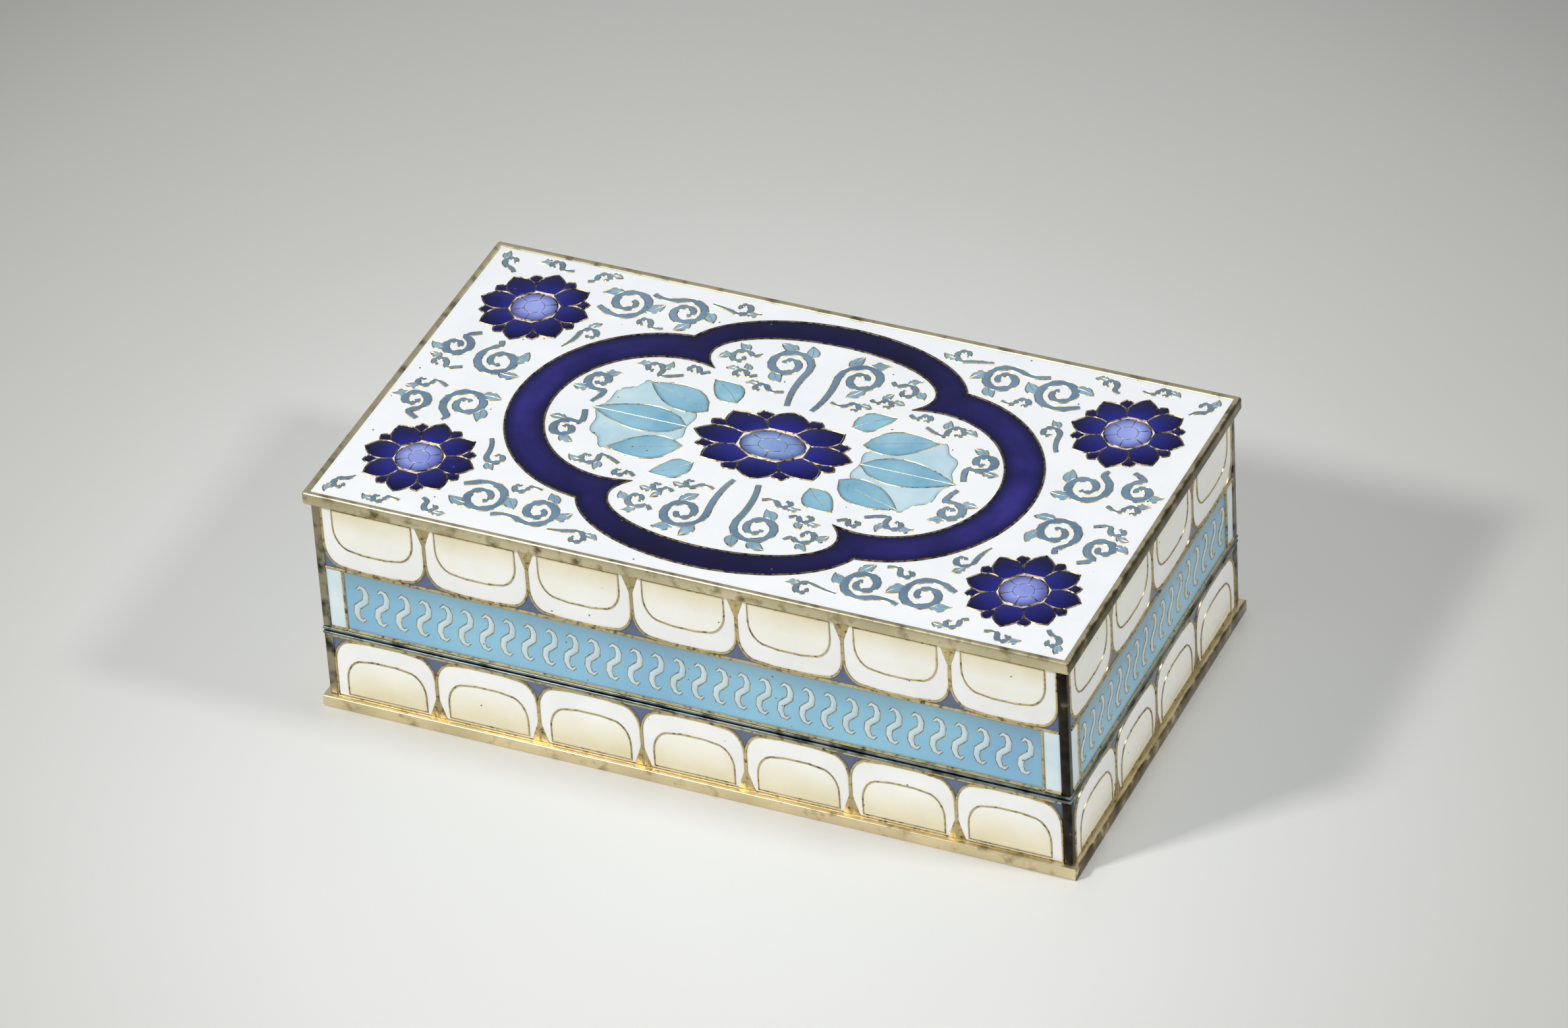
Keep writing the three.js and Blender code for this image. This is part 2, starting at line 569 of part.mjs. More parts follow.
for (const { name, x, y } of corners) {
  flower('corner_flower', `_${name}`, CORNER_FLOWER, CORNER_FLOWER, CORNER_HEART, x, y);
}

// Top: leaf sprays
for (const [name, hand] of [['right', 1], ['left', -1]]) {
  place(cover, `leaf_spray_${name}`, plate(sprayLine(hand, 0), MOTIF_BOTTOM, MOTIF), TURQUOISE_ENAMEL);
}

export default box;
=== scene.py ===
# %% [markdown]
# # A cloisonné box
# The real box is a copper carcase with gilt rims. Flat wires, the cloisons, are bent into flowers,
# lappets and scrolls, set on edge on the copper, and coloured glass is fired between them.
# The CAD frame already holds the carcase, the rims and the larger cells at their true size, so the
# first step is to load it and to keep its box, which nothing that is added may outgrow.

# %% Load the frame
import math

import bmesh
import bpy
from mathutils import Matrix, Vector


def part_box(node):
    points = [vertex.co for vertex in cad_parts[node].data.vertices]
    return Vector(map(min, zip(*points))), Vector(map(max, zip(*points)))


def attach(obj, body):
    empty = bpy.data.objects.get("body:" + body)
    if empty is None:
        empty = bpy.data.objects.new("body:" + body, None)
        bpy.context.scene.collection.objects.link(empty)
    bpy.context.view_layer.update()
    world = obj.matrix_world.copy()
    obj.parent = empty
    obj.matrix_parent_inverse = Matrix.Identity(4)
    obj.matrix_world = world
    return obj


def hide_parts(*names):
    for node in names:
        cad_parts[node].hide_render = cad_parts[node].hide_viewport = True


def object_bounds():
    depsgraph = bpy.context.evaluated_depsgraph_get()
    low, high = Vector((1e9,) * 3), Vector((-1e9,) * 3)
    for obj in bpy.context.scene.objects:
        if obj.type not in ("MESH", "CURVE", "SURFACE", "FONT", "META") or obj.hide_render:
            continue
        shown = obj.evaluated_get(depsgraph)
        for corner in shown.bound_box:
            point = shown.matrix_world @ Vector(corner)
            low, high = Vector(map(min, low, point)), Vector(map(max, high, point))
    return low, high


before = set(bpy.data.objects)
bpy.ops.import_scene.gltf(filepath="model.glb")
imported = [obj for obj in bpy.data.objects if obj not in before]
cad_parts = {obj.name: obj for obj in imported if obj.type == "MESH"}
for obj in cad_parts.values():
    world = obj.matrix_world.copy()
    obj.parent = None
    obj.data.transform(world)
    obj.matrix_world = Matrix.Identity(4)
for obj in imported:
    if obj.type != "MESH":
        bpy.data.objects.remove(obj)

MM = 0.001  # the frame is in metres, and this box is easier to think of in millimetres
cad_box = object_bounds()
HALF_LENGTH, HALF_WIDTH = (c / MM for c in cad_box[1][:2])
print("CAD box, mm:", [round(c / MM, 2) for corner in cad_box for c in corner])

# %% [markdown]
# ## Camera
# The photograph looks down on the box from the front and a little from the right, through a long lens,
# with the camera tipped slightly to one side. A camera is three directions, right, up and backwards,
# and a place, so it is built from them: turn, lift and roll give the directions. The box is moved in
# the frame by moving the camera along its own right and up, which needs no lens shift.

# %% Camera
IMAGE_WIDTH_PX = 2380
FOCAL_PX = 12605  # focal length in pixels of that width
SENSOR_WIDTH = 36
CAMERA_TURN = math.radians(25.74)
CAMERA_LIFT = math.radians(36.73)
CAMERA_ROLL = math.radians(-3.66)
CAMERA_DISTANCE = 1117.6
CAMERA_ASIDE = 0.55
CAMERA_ABOVE = 5.5
AIM_HEIGHT = 17.5

back = Vector((
    math.sin(CAMERA_TURN) * math.cos(CAMERA_LIFT),
    -math.cos(CAMERA_TURN) * math.cos(CAMERA_LIFT),
    math.sin(CAMERA_LIFT),
))
level_right = Vector((0, 0, 1)).cross(back).normalized()
right = Matrix.Rotation(CAMERA_ROLL, 3, back) @ level_right
up = back.cross(right)
middle = Vector((0, 0, AIM_HEIGHT))
eye = (middle + CAMERA_DISTANCE * back + CAMERA_ASIDE * right + CAMERA_ABOVE * up) * MM
bpy.ops.object.camera_add(location=eye)
camera = bpy.context.object
camera.matrix_world = Matrix.Translation(eye) @ Matrix((right, up, back)).transposed().to_4x4()
camera.data.sensor_fit = "HORIZONTAL"
camera.data.sensor_width = SENSOR_WIDTH
camera.data.lens = FOCAL_PX / IMAGE_WIDTH_PX * SENSOR_WIDTH
bpy.context.scene.camera = camera
print("camera at", [round(c, 3) for c in eye], "lens", round(camera.data.lens, 1), "mm")

# %% [markdown]
# ## Light
# The photograph has the even light of a small studio. The floor shows two shadows, a darker one to the
# right and a fainter one to the left, so there are two lamps: one over the front left and a weaker one
# over the right. A line from the tip of a shadow through the corner that casts it points at its lamp.
# The pale room all round gives about half of the light. The view transform is Standard, and the
# three together light a level surface fully, so colours come out as written.

# %% Lamps and room
LAMP_TARGET = Vector((0, 0, 0.02))
LAMP_DISTANCE = 1.1
LAMP_SIZE = 0.14
LAMP_COLOUR = (1.0, 0.995, 0.985)
LAMPS = {  # direction from the box to the lamp, and power in watts
    "front_left_lamp": (Vector((-0.456, -0.591, 0.665)), 6.2),
    "right_lamp": (Vector((0.674, 0.06, 0.736)), 3.3),
}
ROOM_COLOUR = (0.97, 0.985, 1.0, 1)
ROOM_STRENGTH = 0.49

bpy.context.scene.view_settings.view_transform = "Standard"
for lamp_name, (way, power) in LAMPS.items():
    bpy.ops.object.light_add(type="AREA", location=LAMP_TARGET + way * LAMP_DISTANCE)
    lamp = bpy.context.object
    lamp.name = lamp_name
    lamp.rotation_euler = way.to_track_quat("Z", "Y").to_euler()
    lamp.data.size = LAMP_SIZE
    lamp.data.energy = power
    lamp.data.color = LAMP_COLOUR
room = bpy.data.worlds.new("pale_room")
bpy.context.scene.world = room
room.use_nodes = True
room_light = room.node_tree.nodes["Background"]
room_light.inputs["Color"].default_value = ROOM_COLOUR
room_light.inputs["Strength"].default_value = ROOM_STRENGTH
print("lamps", [power for _, power in LAMPS.values()], "W, room", ROOM_STRENGTH)

# %% [markdown]
# ## Reading colours and building node materials
# Colours are easiest to judge as the red, green and blue of a picture, from 0 to 255, but shaders work
# in linear light, so one small function converts them. A finish is a tree of nodes. It starts with a
# node for Object coordinates and is kept under its name, and one helper adds any other node to it, with
# the node's options, its plain values and its links.

# %% Colours, finishes and nodes
finishes = {}


def paint(red, green, blue):
    channel = lambda c: c / 255 / 12.92 if c <= 10 else ((c / 255 + 0.055) / 1.055) ** 2.4
    return (channel(red), channel(green), channel(blue), 1.0)


def new_finish(name):
    finishes[name] = bpy.data.materials.new(name)
    finishes[name].use_nodes = True
    tree = finishes[name].node_tree
    place = tree.nodes.new("ShaderNodeTexCoord").outputs["Object"]
    return tree, tree.nodes["Principled BSDF"], place


def add_node(tree, kind, links, values=None, **options):
    node = tree.nodes.new("ShaderNode" + kind)
    for option, value in options.items():
        setattr(node, option, value)
    for socket, value in (values or {}).items():
        node.inputs[socket].default_value = value
    for socket, source in links.items():
        tree.links.new(source, node.inputs[socket])
    return node


print("white enamel in linear light:", [round(c, 3) for c in paint(240, 240, 235)[:3]])

# %% [markdown]
# ## Nodes that every finish needs
# With that helper, a few more give what the finishes are mixed from: noise, ramps, a mix, a range, a
# distance, a sum and a bump. All patterns read Object coordinates, in metres, so they keep their size on
# every piece, and a noise scale of 100 has patches about a centimetre across.

# %% Node helpers
NOISE_RANGE = {"From Min": 0.3, "From Max": 0.7}  # most of a noise lies between these


def noise(tree, place, scale, detail=3.0):
    return add_node(tree, "TexNoise", {"Vector": place}, {"Scale": scale, "Detail": detail}).outputs["Fac"]


def ramp(tree, value, *stops):
    node = add_node(tree, "ValToRGB", {"Fac": value})
    while len(node.color_ramp.elements) < len(stops):
        node.color_ramp.elements.new(0.5)
    for element, (position, colour) in zip(node.color_ramp.elements, stops):
        element.position = position
        element.color = colour
    return node.outputs["Color"]


def shade(tree, value, stops, *colours):
    return ramp(tree, value, *((stop, paint(*colour)) for stop, colour in zip(stops, colours)))


def blend(tree, share, first, second):
    links = {"Factor": share, "A": first, "B": second}
    return add_node(tree, "Mix", links, data_type="RGBA").outputs["Result"]


def spread(tree, value, low, high):
    limits = NOISE_RANGE | {"To Min": low, "To Max": high}
    return add_node(tree, "MapRange", {"Value": value}, limits).outputs["Result"]


def past(tree, place, axis, start, end):
    """Share that grows from 0 to 1 between two distances along an axis, in millimetres."""
    distance = add_node(tree, "SeparateXYZ", {"Vector": place}).outputs[axis]
    span = {"From Min": start * MM, "From Max": end * MM}
    return add_node(tree, "MapRange", {"Value": distance}, span).outputs["Result"]


def calculate(tree, operation, first, second):
    links, values = {}, {}
    for k, term in enumerate((first, second)):
        (values if isinstance(term, float) else links)[k] = term
    return add_node(tree, "Math", links, values, operation=operation).outputs["Value"]


def length_of(tree, vector):
    return add_node(tree, "VectorMath", {0: vector}, operation="LENGTH").outputs["Value"]


def dress(tree, shader, colour, roughness):
    tree.links.new(colour, shader.inputs["Base Color"])
    tree.links.new(roughness, shader.inputs["Roughness"])


def relief(tree, shader, height, strength, depth):
    bump = add_node(tree, "Bump", {"Height": height}, {"Strength": strength, "Distance": depth})
    tree.links.new(bump.outputs["Normal"], shader.inputs["Normal"])


print("a noise scale of 100 has patches of", 1 / 100 / MM, "mm")

# %% [markdown]
# ## Enamel
# Enamel is opaque glass: a hard gloss over a colour that clouds a little where the powder was uneven,
# with a pinhole here and there from the firing. Near the wires it is thinner and darker. The cells
# carry an attribute named tone, 0 at the rim and 1 inside, and the finish mixes two pairs of shades
# by it. In the hearts of the flowers these lie far apart, cobalt at the ring and periwinkle inside.
# Pinholes come from a Voronoi pattern of which only the very middles of some cells are used.

# %% Enamel finish
CLOUD_SCALE, CLOUD_STOPS = 160, (0.32, 0.68)
GLOSS_SCALE, GLOSS = 90, (0.12, 0.26)
RIPPLE_SCALE, RIPPLE = 420, (0.25, 0.00012)  # the relief's strength and depth
PINHOLE_SCALE = 300
PINHOLE, PINHOLE_FADE = 0.035, 0.0525  # radii, as shares of a Voronoi cell
SOOT = (70, 66, 60), (110, 105, 98)
SHINE = 0.5
DARK_SHINE = 0.16  # dark glass keeps its depth only where it mirrors little of the pale room
COAT_SHARE, COAT_ROUGHNESS = 0.6, 0.06
BLACK = (0, 0, 0, 1)
WHITE = (1, 1, 1, 1)


def dots(tree, place, scale, size, light_pool):
    pattern = add_node(tree, "TexVoronoi", {"Vector": place}, {"Scale": scale})
    return ramp(tree, pattern.outputs["Distance"], (0.0, WHITE), (size, WHITE), (light_pool, BLACK))


def cell_tone(tree, place):
    return add_node(tree, "Attribute", {}, attribute_name="tone").outputs["Fac"]


def enamel(name, *shades, share=cell_tone, cloud_scale=CLOUD_SCALE, shine=SHINE):
    """Glass of four shades: dark and light where the share is 0, then dark and light where it is 1."""
    tree, shader, place = new_finish(name)
    cloud = noise(tree, place, cloud_scale, 5)
    rim, inside = (shade(tree, cloud, CLOUD_STOPS, *pair) for pair in (shades[:2], shades[2:]))
    colour = blend(tree, share(tree, place), rim, inside)
    holes = dots(tree, place, PINHOLE_SCALE, PINHOLE, PINHOLE_FADE)
    sooty = blend(tree, holes, colour, shade(tree, cloud, (0, 1), *SOOT))
    dress(tree, shader, sooty, spread(tree, noise(tree, place, GLOSS_SCALE), *GLOSS))
    whole = calculate(tree, "SUBTRACT", 1.0, holes)
    relief(tree, shader, calculate(tree, "MULTIPLY", noise(tree, place, RIPPLE_SCALE, 2), whole), *RIPPLE)
    shader.inputs["Specular IOR Level"].default_value = shine
    shader.inputs["Coat Weight"].default_value = shine * COAT_SHARE
    shader.inputs["Coat Roughness"].default_value = COAT_ROUGHNESS


print("radius of a pinhole, mm:", round(PINHOLE / PINHOLE_SCALE / MM, 2))

# %% Enamels with a tone of their own
ENAMELS = {
    "white_enamel": ((234, 236, 233), (246, 246, 243), (242, 242, 239), (250, 250, 248)),
    "ground_enamel": ((234, 238, 243), (244, 247, 250), (241, 245, 249), (248, 250, 253)),
    "pale_enamel": ((186, 212, 224), (206, 226, 234), (206, 228, 236), (228, 241, 245)),
    "pad_enamel": ((140, 184, 204), (166, 204, 220), (176, 210, 224), (206, 230, 238)),
    "leaf_enamel": ((78, 138, 170), (102, 162, 188), (112, 170, 198), (156, 202, 220)),
    "bud_enamel": ((82, 120, 150), (112, 148, 174), (112, 154, 184), (148, 188, 210)),
    "vine_enamel": ((82, 116, 148), (114, 148, 174), (82, 116, 148), (114, 148, 174)),
    "spandrel_enamel": ((46, 58, 88), (66, 80, 108), (66, 82, 118), (88, 106, 140)),
    "corner_heart_enamel": ((48, 54, 140), (74, 84, 174), (112, 128, 212), (158, 174, 238)),
    "centre_heart_enamel": ((40, 56, 132), (64, 84, 164), (98, 130, 196), (146, 178, 222)),
}
for name, shades in ENAMELS.items():
    enamel(name, *shades)
enamel("cobalt_enamel", (2, 2, 44), (6, 6, 66), (22, 20, 92), (46, 42, 126), shine=DARK_SHINE)
print("enamels:", list(finishes))

# %% [markdown]
# ## Shades that change up the sides
# The cream of the lappets is deepest beside the foot and the arris and pales toward the tips, and it is
# paler on both ends of the box. The blue band greys toward its top and bottom edges: partly thinner glass
# beside the wires that close it, partly painted shade under the lappet tips and along the parting line.
# Neither change follows the rim of a cell, so these two finishes take their share from heights and
# lengths instead.

# %% Cream and sky enamel
CREAM_RISE, CREAM_DROP = (3.4, 8.2), (33.2, 29.8)  # where the lower and the upper row pale
CREAM_ENDS = (51, 58)
SKY_RISE, SKY_DROP = (12.6, 14.2), (23.6, 19.6)
SKY_CLOUD_SCALE = 45


def between(tree, place, rise, drop):
    """Share that grows over one span of heights and falls off again over another."""
    return calculate(tree, "MULTIPLY", past(tree, place, "Z", *rise), past(tree, place, "Z", *drop))


def toward_tips(tree, place):
    ends = [past(tree, place, "X", *(hand * x for x in CREAM_ENDS)) for hand in (1, -1)]
    return calculate(tree, "ADD", between(tree, place, CREAM_RISE, CREAM_DROP), calculate(tree, "ADD", *ends))


# partly painted shade: the blue greys toward the band's top and bottom edges, under the lappet tips and along
# the parting line, and partly thinner glass beside the wires
def within_band(tree, place):
    return between(tree, place, SKY_RISE, SKY_DROP)


enamel("cream_enamel", (232, 221, 183), (242, 234, 203), (246, 245, 232), (251, 251, 244), share=toward_tips)
enamel("sky_enamel", (112, 148, 166), (126, 168, 184), (120, 172, 210), (142, 200, 224),
       share=within_band, cloud_scale=SKY_CLOUD_SCALE)
print("the cream pales from", CREAM_RISE, "and", CREAM_DROP, "mm")

# %% [markdown]
# ## Petal shading
# A petal runs from nearly black at its tip to a clear blue beside the heart. The four corner flowers
# lie the same distance from both middle lines, so folding the coordinates with an absolute value
# puts all four on one spot, and the distance from that spot shades them together.

# %% Petal finishes
flower_low, flower_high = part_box("corner_flower_wire_br")
CORNER_X, CORNER_Y = (c / MM for c in ((flower_low + flower_high) / 2)[:2])
CORNER_REACH = ((flower_high.x - flower_low.x) / 2 / MM,) * 2
CENTRE_REACH = tuple(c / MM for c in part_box("centre_flower_wire")[1][:2])
PETAL_SHADES = (0, 2, 42), (3, 6, 64), (16, 20, 106), (36, 42, 142)
PETAL_FADE = (0.4, 0.95)  # shares of a flower's reach


def toward_heart(x, y, reach_x, reach_y):
    def share(tree, place):
        fold = add_node(tree, "VectorMath", {0: place}, operation="ABSOLUTE").outputs["Vector"]
        spot = add_node(tree, "Mapping", {"Vector": fold}, {
            "Scale": (1 / (reach_x * MM), 1 / (reach_y * MM), 0),
            "Location": (-x / reach_x, -y / reach_y, 0),
        })
        distance = length_of(tree, spot.outputs["Vector"])
        return ramp(tree, distance, (PETAL_FADE[0], WHITE), (PETAL_FADE[1], BLACK))

    return share


corner_share = toward_heart(CORNER_X, CORNER_Y, *CORNER_REACH)
enamel("corner_petal_enamel", *PETAL_SHADES, share=corner_share, shine=DARK_SHINE)
enamel("centre_petal_enamel", *PETAL_SHADES, share=toward_heart(0, 0, *CENTRE_REACH), shine=DARK_SHINE)
print("corner flowers at", round(CORNER_X, 1), round(CORNER_Y, 1), "mm")

# %% [markdown]
# ## Gilding
# The rims and wires are gilt copper. Old gilding is pale, soft in its shine, and rubbed through to
# brown in patches. One function mixes a bright and a rubbed colour by noise, and the amount of wear
# moves the point where one turns into the other. A share of the place, from 0 to 1, can darken it more:
# on the front right corner post this is wear, and on the right end of the arris and the foot it is
# painted shade and a painted dark reflection, as that end shows in shade.

# %% Metal finishes
DULLING, BLACKENING = 0.88, 0.5  # of the bright colour in its sheen and of the rubbed one in its depths
# how far a share of the place darkens the gilt: wear on a corner post, painted shade on the right end
WEAR_AND_SHADE_DEPTH = 0.3
WEAR_EDGE = 0.1
SHEEN_SCALE, SHEEN_STOPS = 95, (0.3, 0.7)
RUBBED_STOPS = (0.1, 0.5)
SCRATCH_SCALE, SCRATCHES = 2600, (0.2, 0.00005)
RIM_GRAIN, WIRE_GRAIN, SHEET_GRAIN = 420, 1500, 180
RIM_GLOSS, SHEET_GLOSS = (0.26, 0.48), (0.35, 0.6)


def gilding(name, bright, rubbed, wear, grain=RIM_GRAIN, gloss=RIM_GLOSS, wear_and_shade=None):
    tree, shader, place = new_finish(name)
    patches = noise(tree, place, grain, 6)
    if wear_and_shade:
        wear_and_shading = calculate(tree, "MULTIPLY", wear_and_shade(tree, place), WEAR_AND_SHADE_DEPTH)
        patches = calculate(tree, "SUBTRACT", patches, wear_and_shading)
    dull = [int(c * DULLING) for c in bright]
    black = [int(c * BLACKENING) for c in rubbed]
    sheen = shade(tree, noise(tree, place, SHEEN_SCALE, 2), SHEEN_STOPS, dull, bright)
    brown = shade(tree, patches, RUBBED_STOPS, black, rubbed)
    worn = ramp(tree, patches, (wear - WEAR_EDGE, WHITE), (wear + WEAR_EDGE, BLACK))
    dress(tree, shader, blend(tree, worn, sheen, brown), spread(tree, patches, *gloss))
    relief(tree, shader, noise(tree, place, SCRATCH_SCALE, 4), *SCRATCHES)
    shader.inputs["Metallic"].default_value = 1.0


# painted shade and a painted dark reflection on the right end of the arris and the foot, mixed in as extra
# wear
def right_end_shade(tree, place):
    return past(tree, place, "X", HALF_LENGTH - 0.4, HALF_LENGTH - 0.1)


def front_right(tree, place):
    return calculate(tree, "MULTIPLY", past(tree, place, "X", -1, 1), past(tree, place, "Y", 1, -1))


# the right ends of these two gilt finishes get painted shade
gilding("rim_gilt", (216, 205, 168), (140, 124, 84), 0.40, wear_and_shade=right_end_shade)
gilding("foot_gilt", (240, 224, 184), (176, 156, 112), 0.36, wear_and_shade=right_end_shade)
gilding("mouth_gilt", (146, 158, 156), (76, 90, 92), 0.46)
gilding("post_gilt", (164, 155, 128), (64, 59, 50), 0.44, wear_and_shade=front_right)
gilding("wire_gilt", (206, 188, 138), (130, 110, 70), 0.40, WIRE_GRAIN)
gilding("dark_gilt", (158, 142, 106), (70, 60, 44), 0.48, WIRE_GRAIN)
gilding("copper_sheet", (186, 122, 88), (108, 66, 46), 0.44, SHEET_GRAIN, SHEET_GLOSS)
print("metals:", [name for name in finishes if not name.endswith("_enamel")])

# %% [markdown]
# ## Counter-enamel and the copper sheets
# The inside and the underside of such a box are coated with plain turquoise enamel, fired on so that
# the sheet doesn't warp. It is coarser than the show side and full of small dark specks. These pieces
# have the right shape in the CAD model already, so they stay and only get their finish, and so do
# the copper sheets between the two coats.

# %% Counter-enamel on the linings
LINING_SHADES = (70, 150, 160), (92, 172, 182), (120, 190, 196)
LINING_SCALE, LINING_STOPS = 110, (0.3, 0.55, 0.75)
LINING_GLOSS_SCALE, LINING_GLOSS = 70, (0.16, 0.36)
LINING_RIPPLE_SCALE, LINING_RIPPLE = 340, (0.4, 0.0002)
SPECK_SHADES, SPECK_STOPS = ((28, 70, 84), (60, 110, 118)), (0.3, 0.7)
SPECK_SCALE, SPECK, SPECK_FADE = 620, 0.09, 0.16

tree, shader, place = new_finish("counter_enamel")
cloud = noise(tree, place, LINING_SCALE, 6)
glass = shade(tree, cloud, LINING_STOPS, *LINING_SHADES)
specks = shade(tree, cloud, SPECK_STOPS, *SPECK_SHADES)
speckled = blend(tree, dots(tree, place, SPECK_SCALE, SPECK, SPECK_FADE), glass, specks)
dress(tree, shader, speckled, spread(tree, noise(tree, place, LINING_GLOSS_SCALE), *LINING_GLOSS))
relief(tree, shader, noise(tree, place, LINING_RIPPLE_SCALE), *LINING_RIPPLE)

kept = []
for node_name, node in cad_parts.items():
    lined = node_name.endswith(("_lining", "_underside_enamel"))
    if lined or node_name.endswith(("_floor", "_top_plate")) or "_wall_" in node_name:
        node.data.materials.clear()
        node.data.materials.append(finishes["counter_enamel" if lined else "copper_sheet"])
        kept.append(node_name)
print("CAD nodes that keep their shape:", len(kept))

# %% [markdown]
# ## Helpers for working as by hand
# Every operator acts on what is selected, so each piece starts by letting go of everything. One helper
# gives a finished piece its material, smooth shading that keeps the sharp edges and its body, and hides
# the CAD nodes that it stands for. The last one writes out the names of nodes that come in fours.

# %% Selecting and finishing
BEVEL_ANGLE = math.radians(40)
SMOOTH_ANGLE = math.radians(38)


def let_go():
    if bpy.context.object and bpy.context.object.mode != "OBJECT":
        bpy.ops.object.mode_set(mode="OBJECT")
    bpy.ops.object.select_all(action="DESELECT")


def hold(piece):
    let_go()
    piece.select_set(True)
    bpy.context.view_layer.objects.active = piece


def soften(piece, width, segments=3):
    hold(piece)
    rounding = piece.modifiers.new("rounding", "BEVEL")
    rounding.width = width * MM
    rounding.segments = segments
    rounding.limit_method = "ANGLE"
    rounding.angle_limit = BEVEL_ANGLE
    bpy.ops.object.modifier_apply(modifier=rounding.name)


def join(name, pieces):
    hold(pieces[0])
    for piece in pieces:
        piece.select_set(True)
    bpy.ops.object.join()
    pieces[0].name = name
    pieces[0].data.name = name
    return pieces[0]


def finish_piece(piece, finish, body, slot, *nodes):
    hold(piece)
    bpy.ops.object.shade_smooth_by_angle(angle=SMOOTH_ANGLE)
    piece.data.materials.clear()
    piece.data.materials.append(finishes[finish])
    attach(piece, body)
    if nodes:
        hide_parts(*nodes)
    triangles = sum(len(face.vertices) - 2 for face in piece.data.polygons)
    print(f"{piece.name}: {triangles} triangles, stands for {len(nodes)} nodes")


def four(prefix, ends=("front", "right", "back", "left")):
    """Names of the four CAD nodes that differ only in their endings."""
    return [f"{prefix}_{end}" for end in ends]


print("shading is smooth up to", round(math.degrees(SMOOTH_ANGLE)), "degrees")

# %% [markdown]
# ## Gilt rims
# A rim is a strip of gilt copper bent round the box. On the real one it is filed and polished, so no
# edge is quite sharp. By hand: add a plane at the rim's outer size, inset it by the strip's width,
# delete the middle, extrude the ring to its height, and round the edges with a Bevel modifier.

# %% Rims
RIMS = (  # name, CAD node, width of the strip, rounding, finish, body
    ("cover_arris", "cover_top_rim", 0.9, 0.4, "rim_gilt", "cover"),
    ("cover_mouth", "cover_lower_rim", 2.5, 0.18, "mouth_gilt", "cover"),
    ("base_seat", "base_seat_rim", 2.7, 0.18, "mouth_gilt", "base"),
    ("base_inner_collar", "base_collar", 0.8, 0.22, "foot_gilt", "base"),
)


def pull_up(rise):
    bpy.ops.mesh.extrude_region_move(TRANSFORM_OT_translate={"value": (0, 0, rise)})


def face_outward():
    bpy.ops.mesh.select_all(action="SELECT")
    bpy.ops.mesh.normals_make_consistent(inside=False)
    let_go()


def flat_frame(name, low, high, *widths):
    """A plane in edit mode at a box's outer size, with one inset after another and no middle."""
    let_go()
    bpy.ops.mesh.primitive_plane_add(size=1, location=(0, 0, low.z))
    plane = bpy.context.object
    plane.name = name
    plane.scale = (high.x - low.x, high.y - low.y, 1)
    bpy.ops.object.transform_apply()
    bpy.ops.object.mode_set(mode="EDIT")
    bpy.ops.mesh.select_mode(type="FACE")
    bpy.ops.mesh.select_all(action="SELECT")
    for width in widths:
        bpy.ops.mesh.inset(thickness=width * MM)
    bpy.ops.mesh.delete(type="FACE")
    bpy.ops.mesh.select_all(action="SELECT")
    return plane


for name, node, width, rounding, finish, body in RIMS:
    low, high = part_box(node)
    rim = flat_frame(name, low, high, width)
    pull_up(high.z - low.z)
    face_outward()
    soften(rim, rounding)
    finish_piece(rim, finish, body, "gilt", node)

# %% [markdown]
# ## The foot
# The foot is an angle strip: an upright edge that shows as a gilt line under the lappets, and a flange
# that turns in under the floor. Two insets draw both widths on one plane, everything is extruded to
# the flange's thickness, and then only the outer ring is extruded on to the full height.

# %% Foot
FOOT_STRIP = 1.7
FOOT_FLANGE_WIDTH = 4.0
FOOT_FLANGE = 0.75
FOOT_ROUNDING = 0.2

foot_low, foot_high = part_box("base_foot_rim")
foot = flat_frame("base_foot", foot_low, foot_high, FOOT_STRIP, FOOT_FLANGE_WIDTH - FOOT_STRIP)
pull_up(FOOT_FLANGE * MM)
bpy.ops.mesh.select_all(action="DESELECT")
shape = bmesh.from_edit_mesh(foot.data)
strip_x, strip_y = (c - FOOT_STRIP * MM for c in foot_high[:2])
for face in shape.faces:
    spot = face.calc_center_median()
    outer = abs(spot.x) > strip_x or abs(spot.y) > strip_y
    face.select_set(outer and spot.z > FOOT_FLANGE * MM * 0.9)
bmesh.update_edit_mesh(foot.data)
pull_up(foot_high.z - foot_low.z - FOOT_FLANGE * MM)
face_outward()
soften(foot, FOOT_ROUNDING)
finish_piece(foot, "foot_gilt", "base", "gilt", "base_foot_rim")

# %% [markdown]
# ## Corner posts
# Where two sides meet, the enamel stops against a strip of metal. The corners are what a hand rubs
# most, and the one at the front right reads black. Each is a bar added at a corner, with its upright
# edges rounded, and the four are joined into one piece for each body.

# %% Corner posts
POST = 1.3
POST_ROUNDING, POST_SEGMENTS = 0.28, 4
# how far the enamel and the posts lie in from the rims
FACE_INSET = HALF_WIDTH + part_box("cover_band_enamel_front")[0].y / MM
POST_INSET = FACE_INSET - 0.1
POST_X, POST_Y = (half - POST_INSET - POST / 2 for half in (HALF_LENGTH, HALF_WIDTH))


def corner_posts(body, low_node, high_node):
    bottom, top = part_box(low_node)[1].z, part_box(high_node)[0].z
    bars = []
    for x in (-POST_X, POST_X):
        for y in (-POST_Y, POST_Y):
            let_go()
            bpy.ops.mesh.primitive_cube_add(size=1, location=(x * MM, y * MM, (bottom + top) / 2))
            bars.append(bpy.context.object)
            bars[-1].scale = (POST * MM, POST * MM, top - bottom)
            bpy.ops.object.transform_apply()
    posts = join(f"{body}_corner_posts", bars)
    soften(posts, POST_ROUNDING, POST_SEGMENTS)
    finish_piece(posts, "post_gilt", body, "gilt")


corner_posts("cover", "cover_lower_rim", "cover_top_rim")
corner_posts("base", "base_foot_rim", "base_seat_rim")

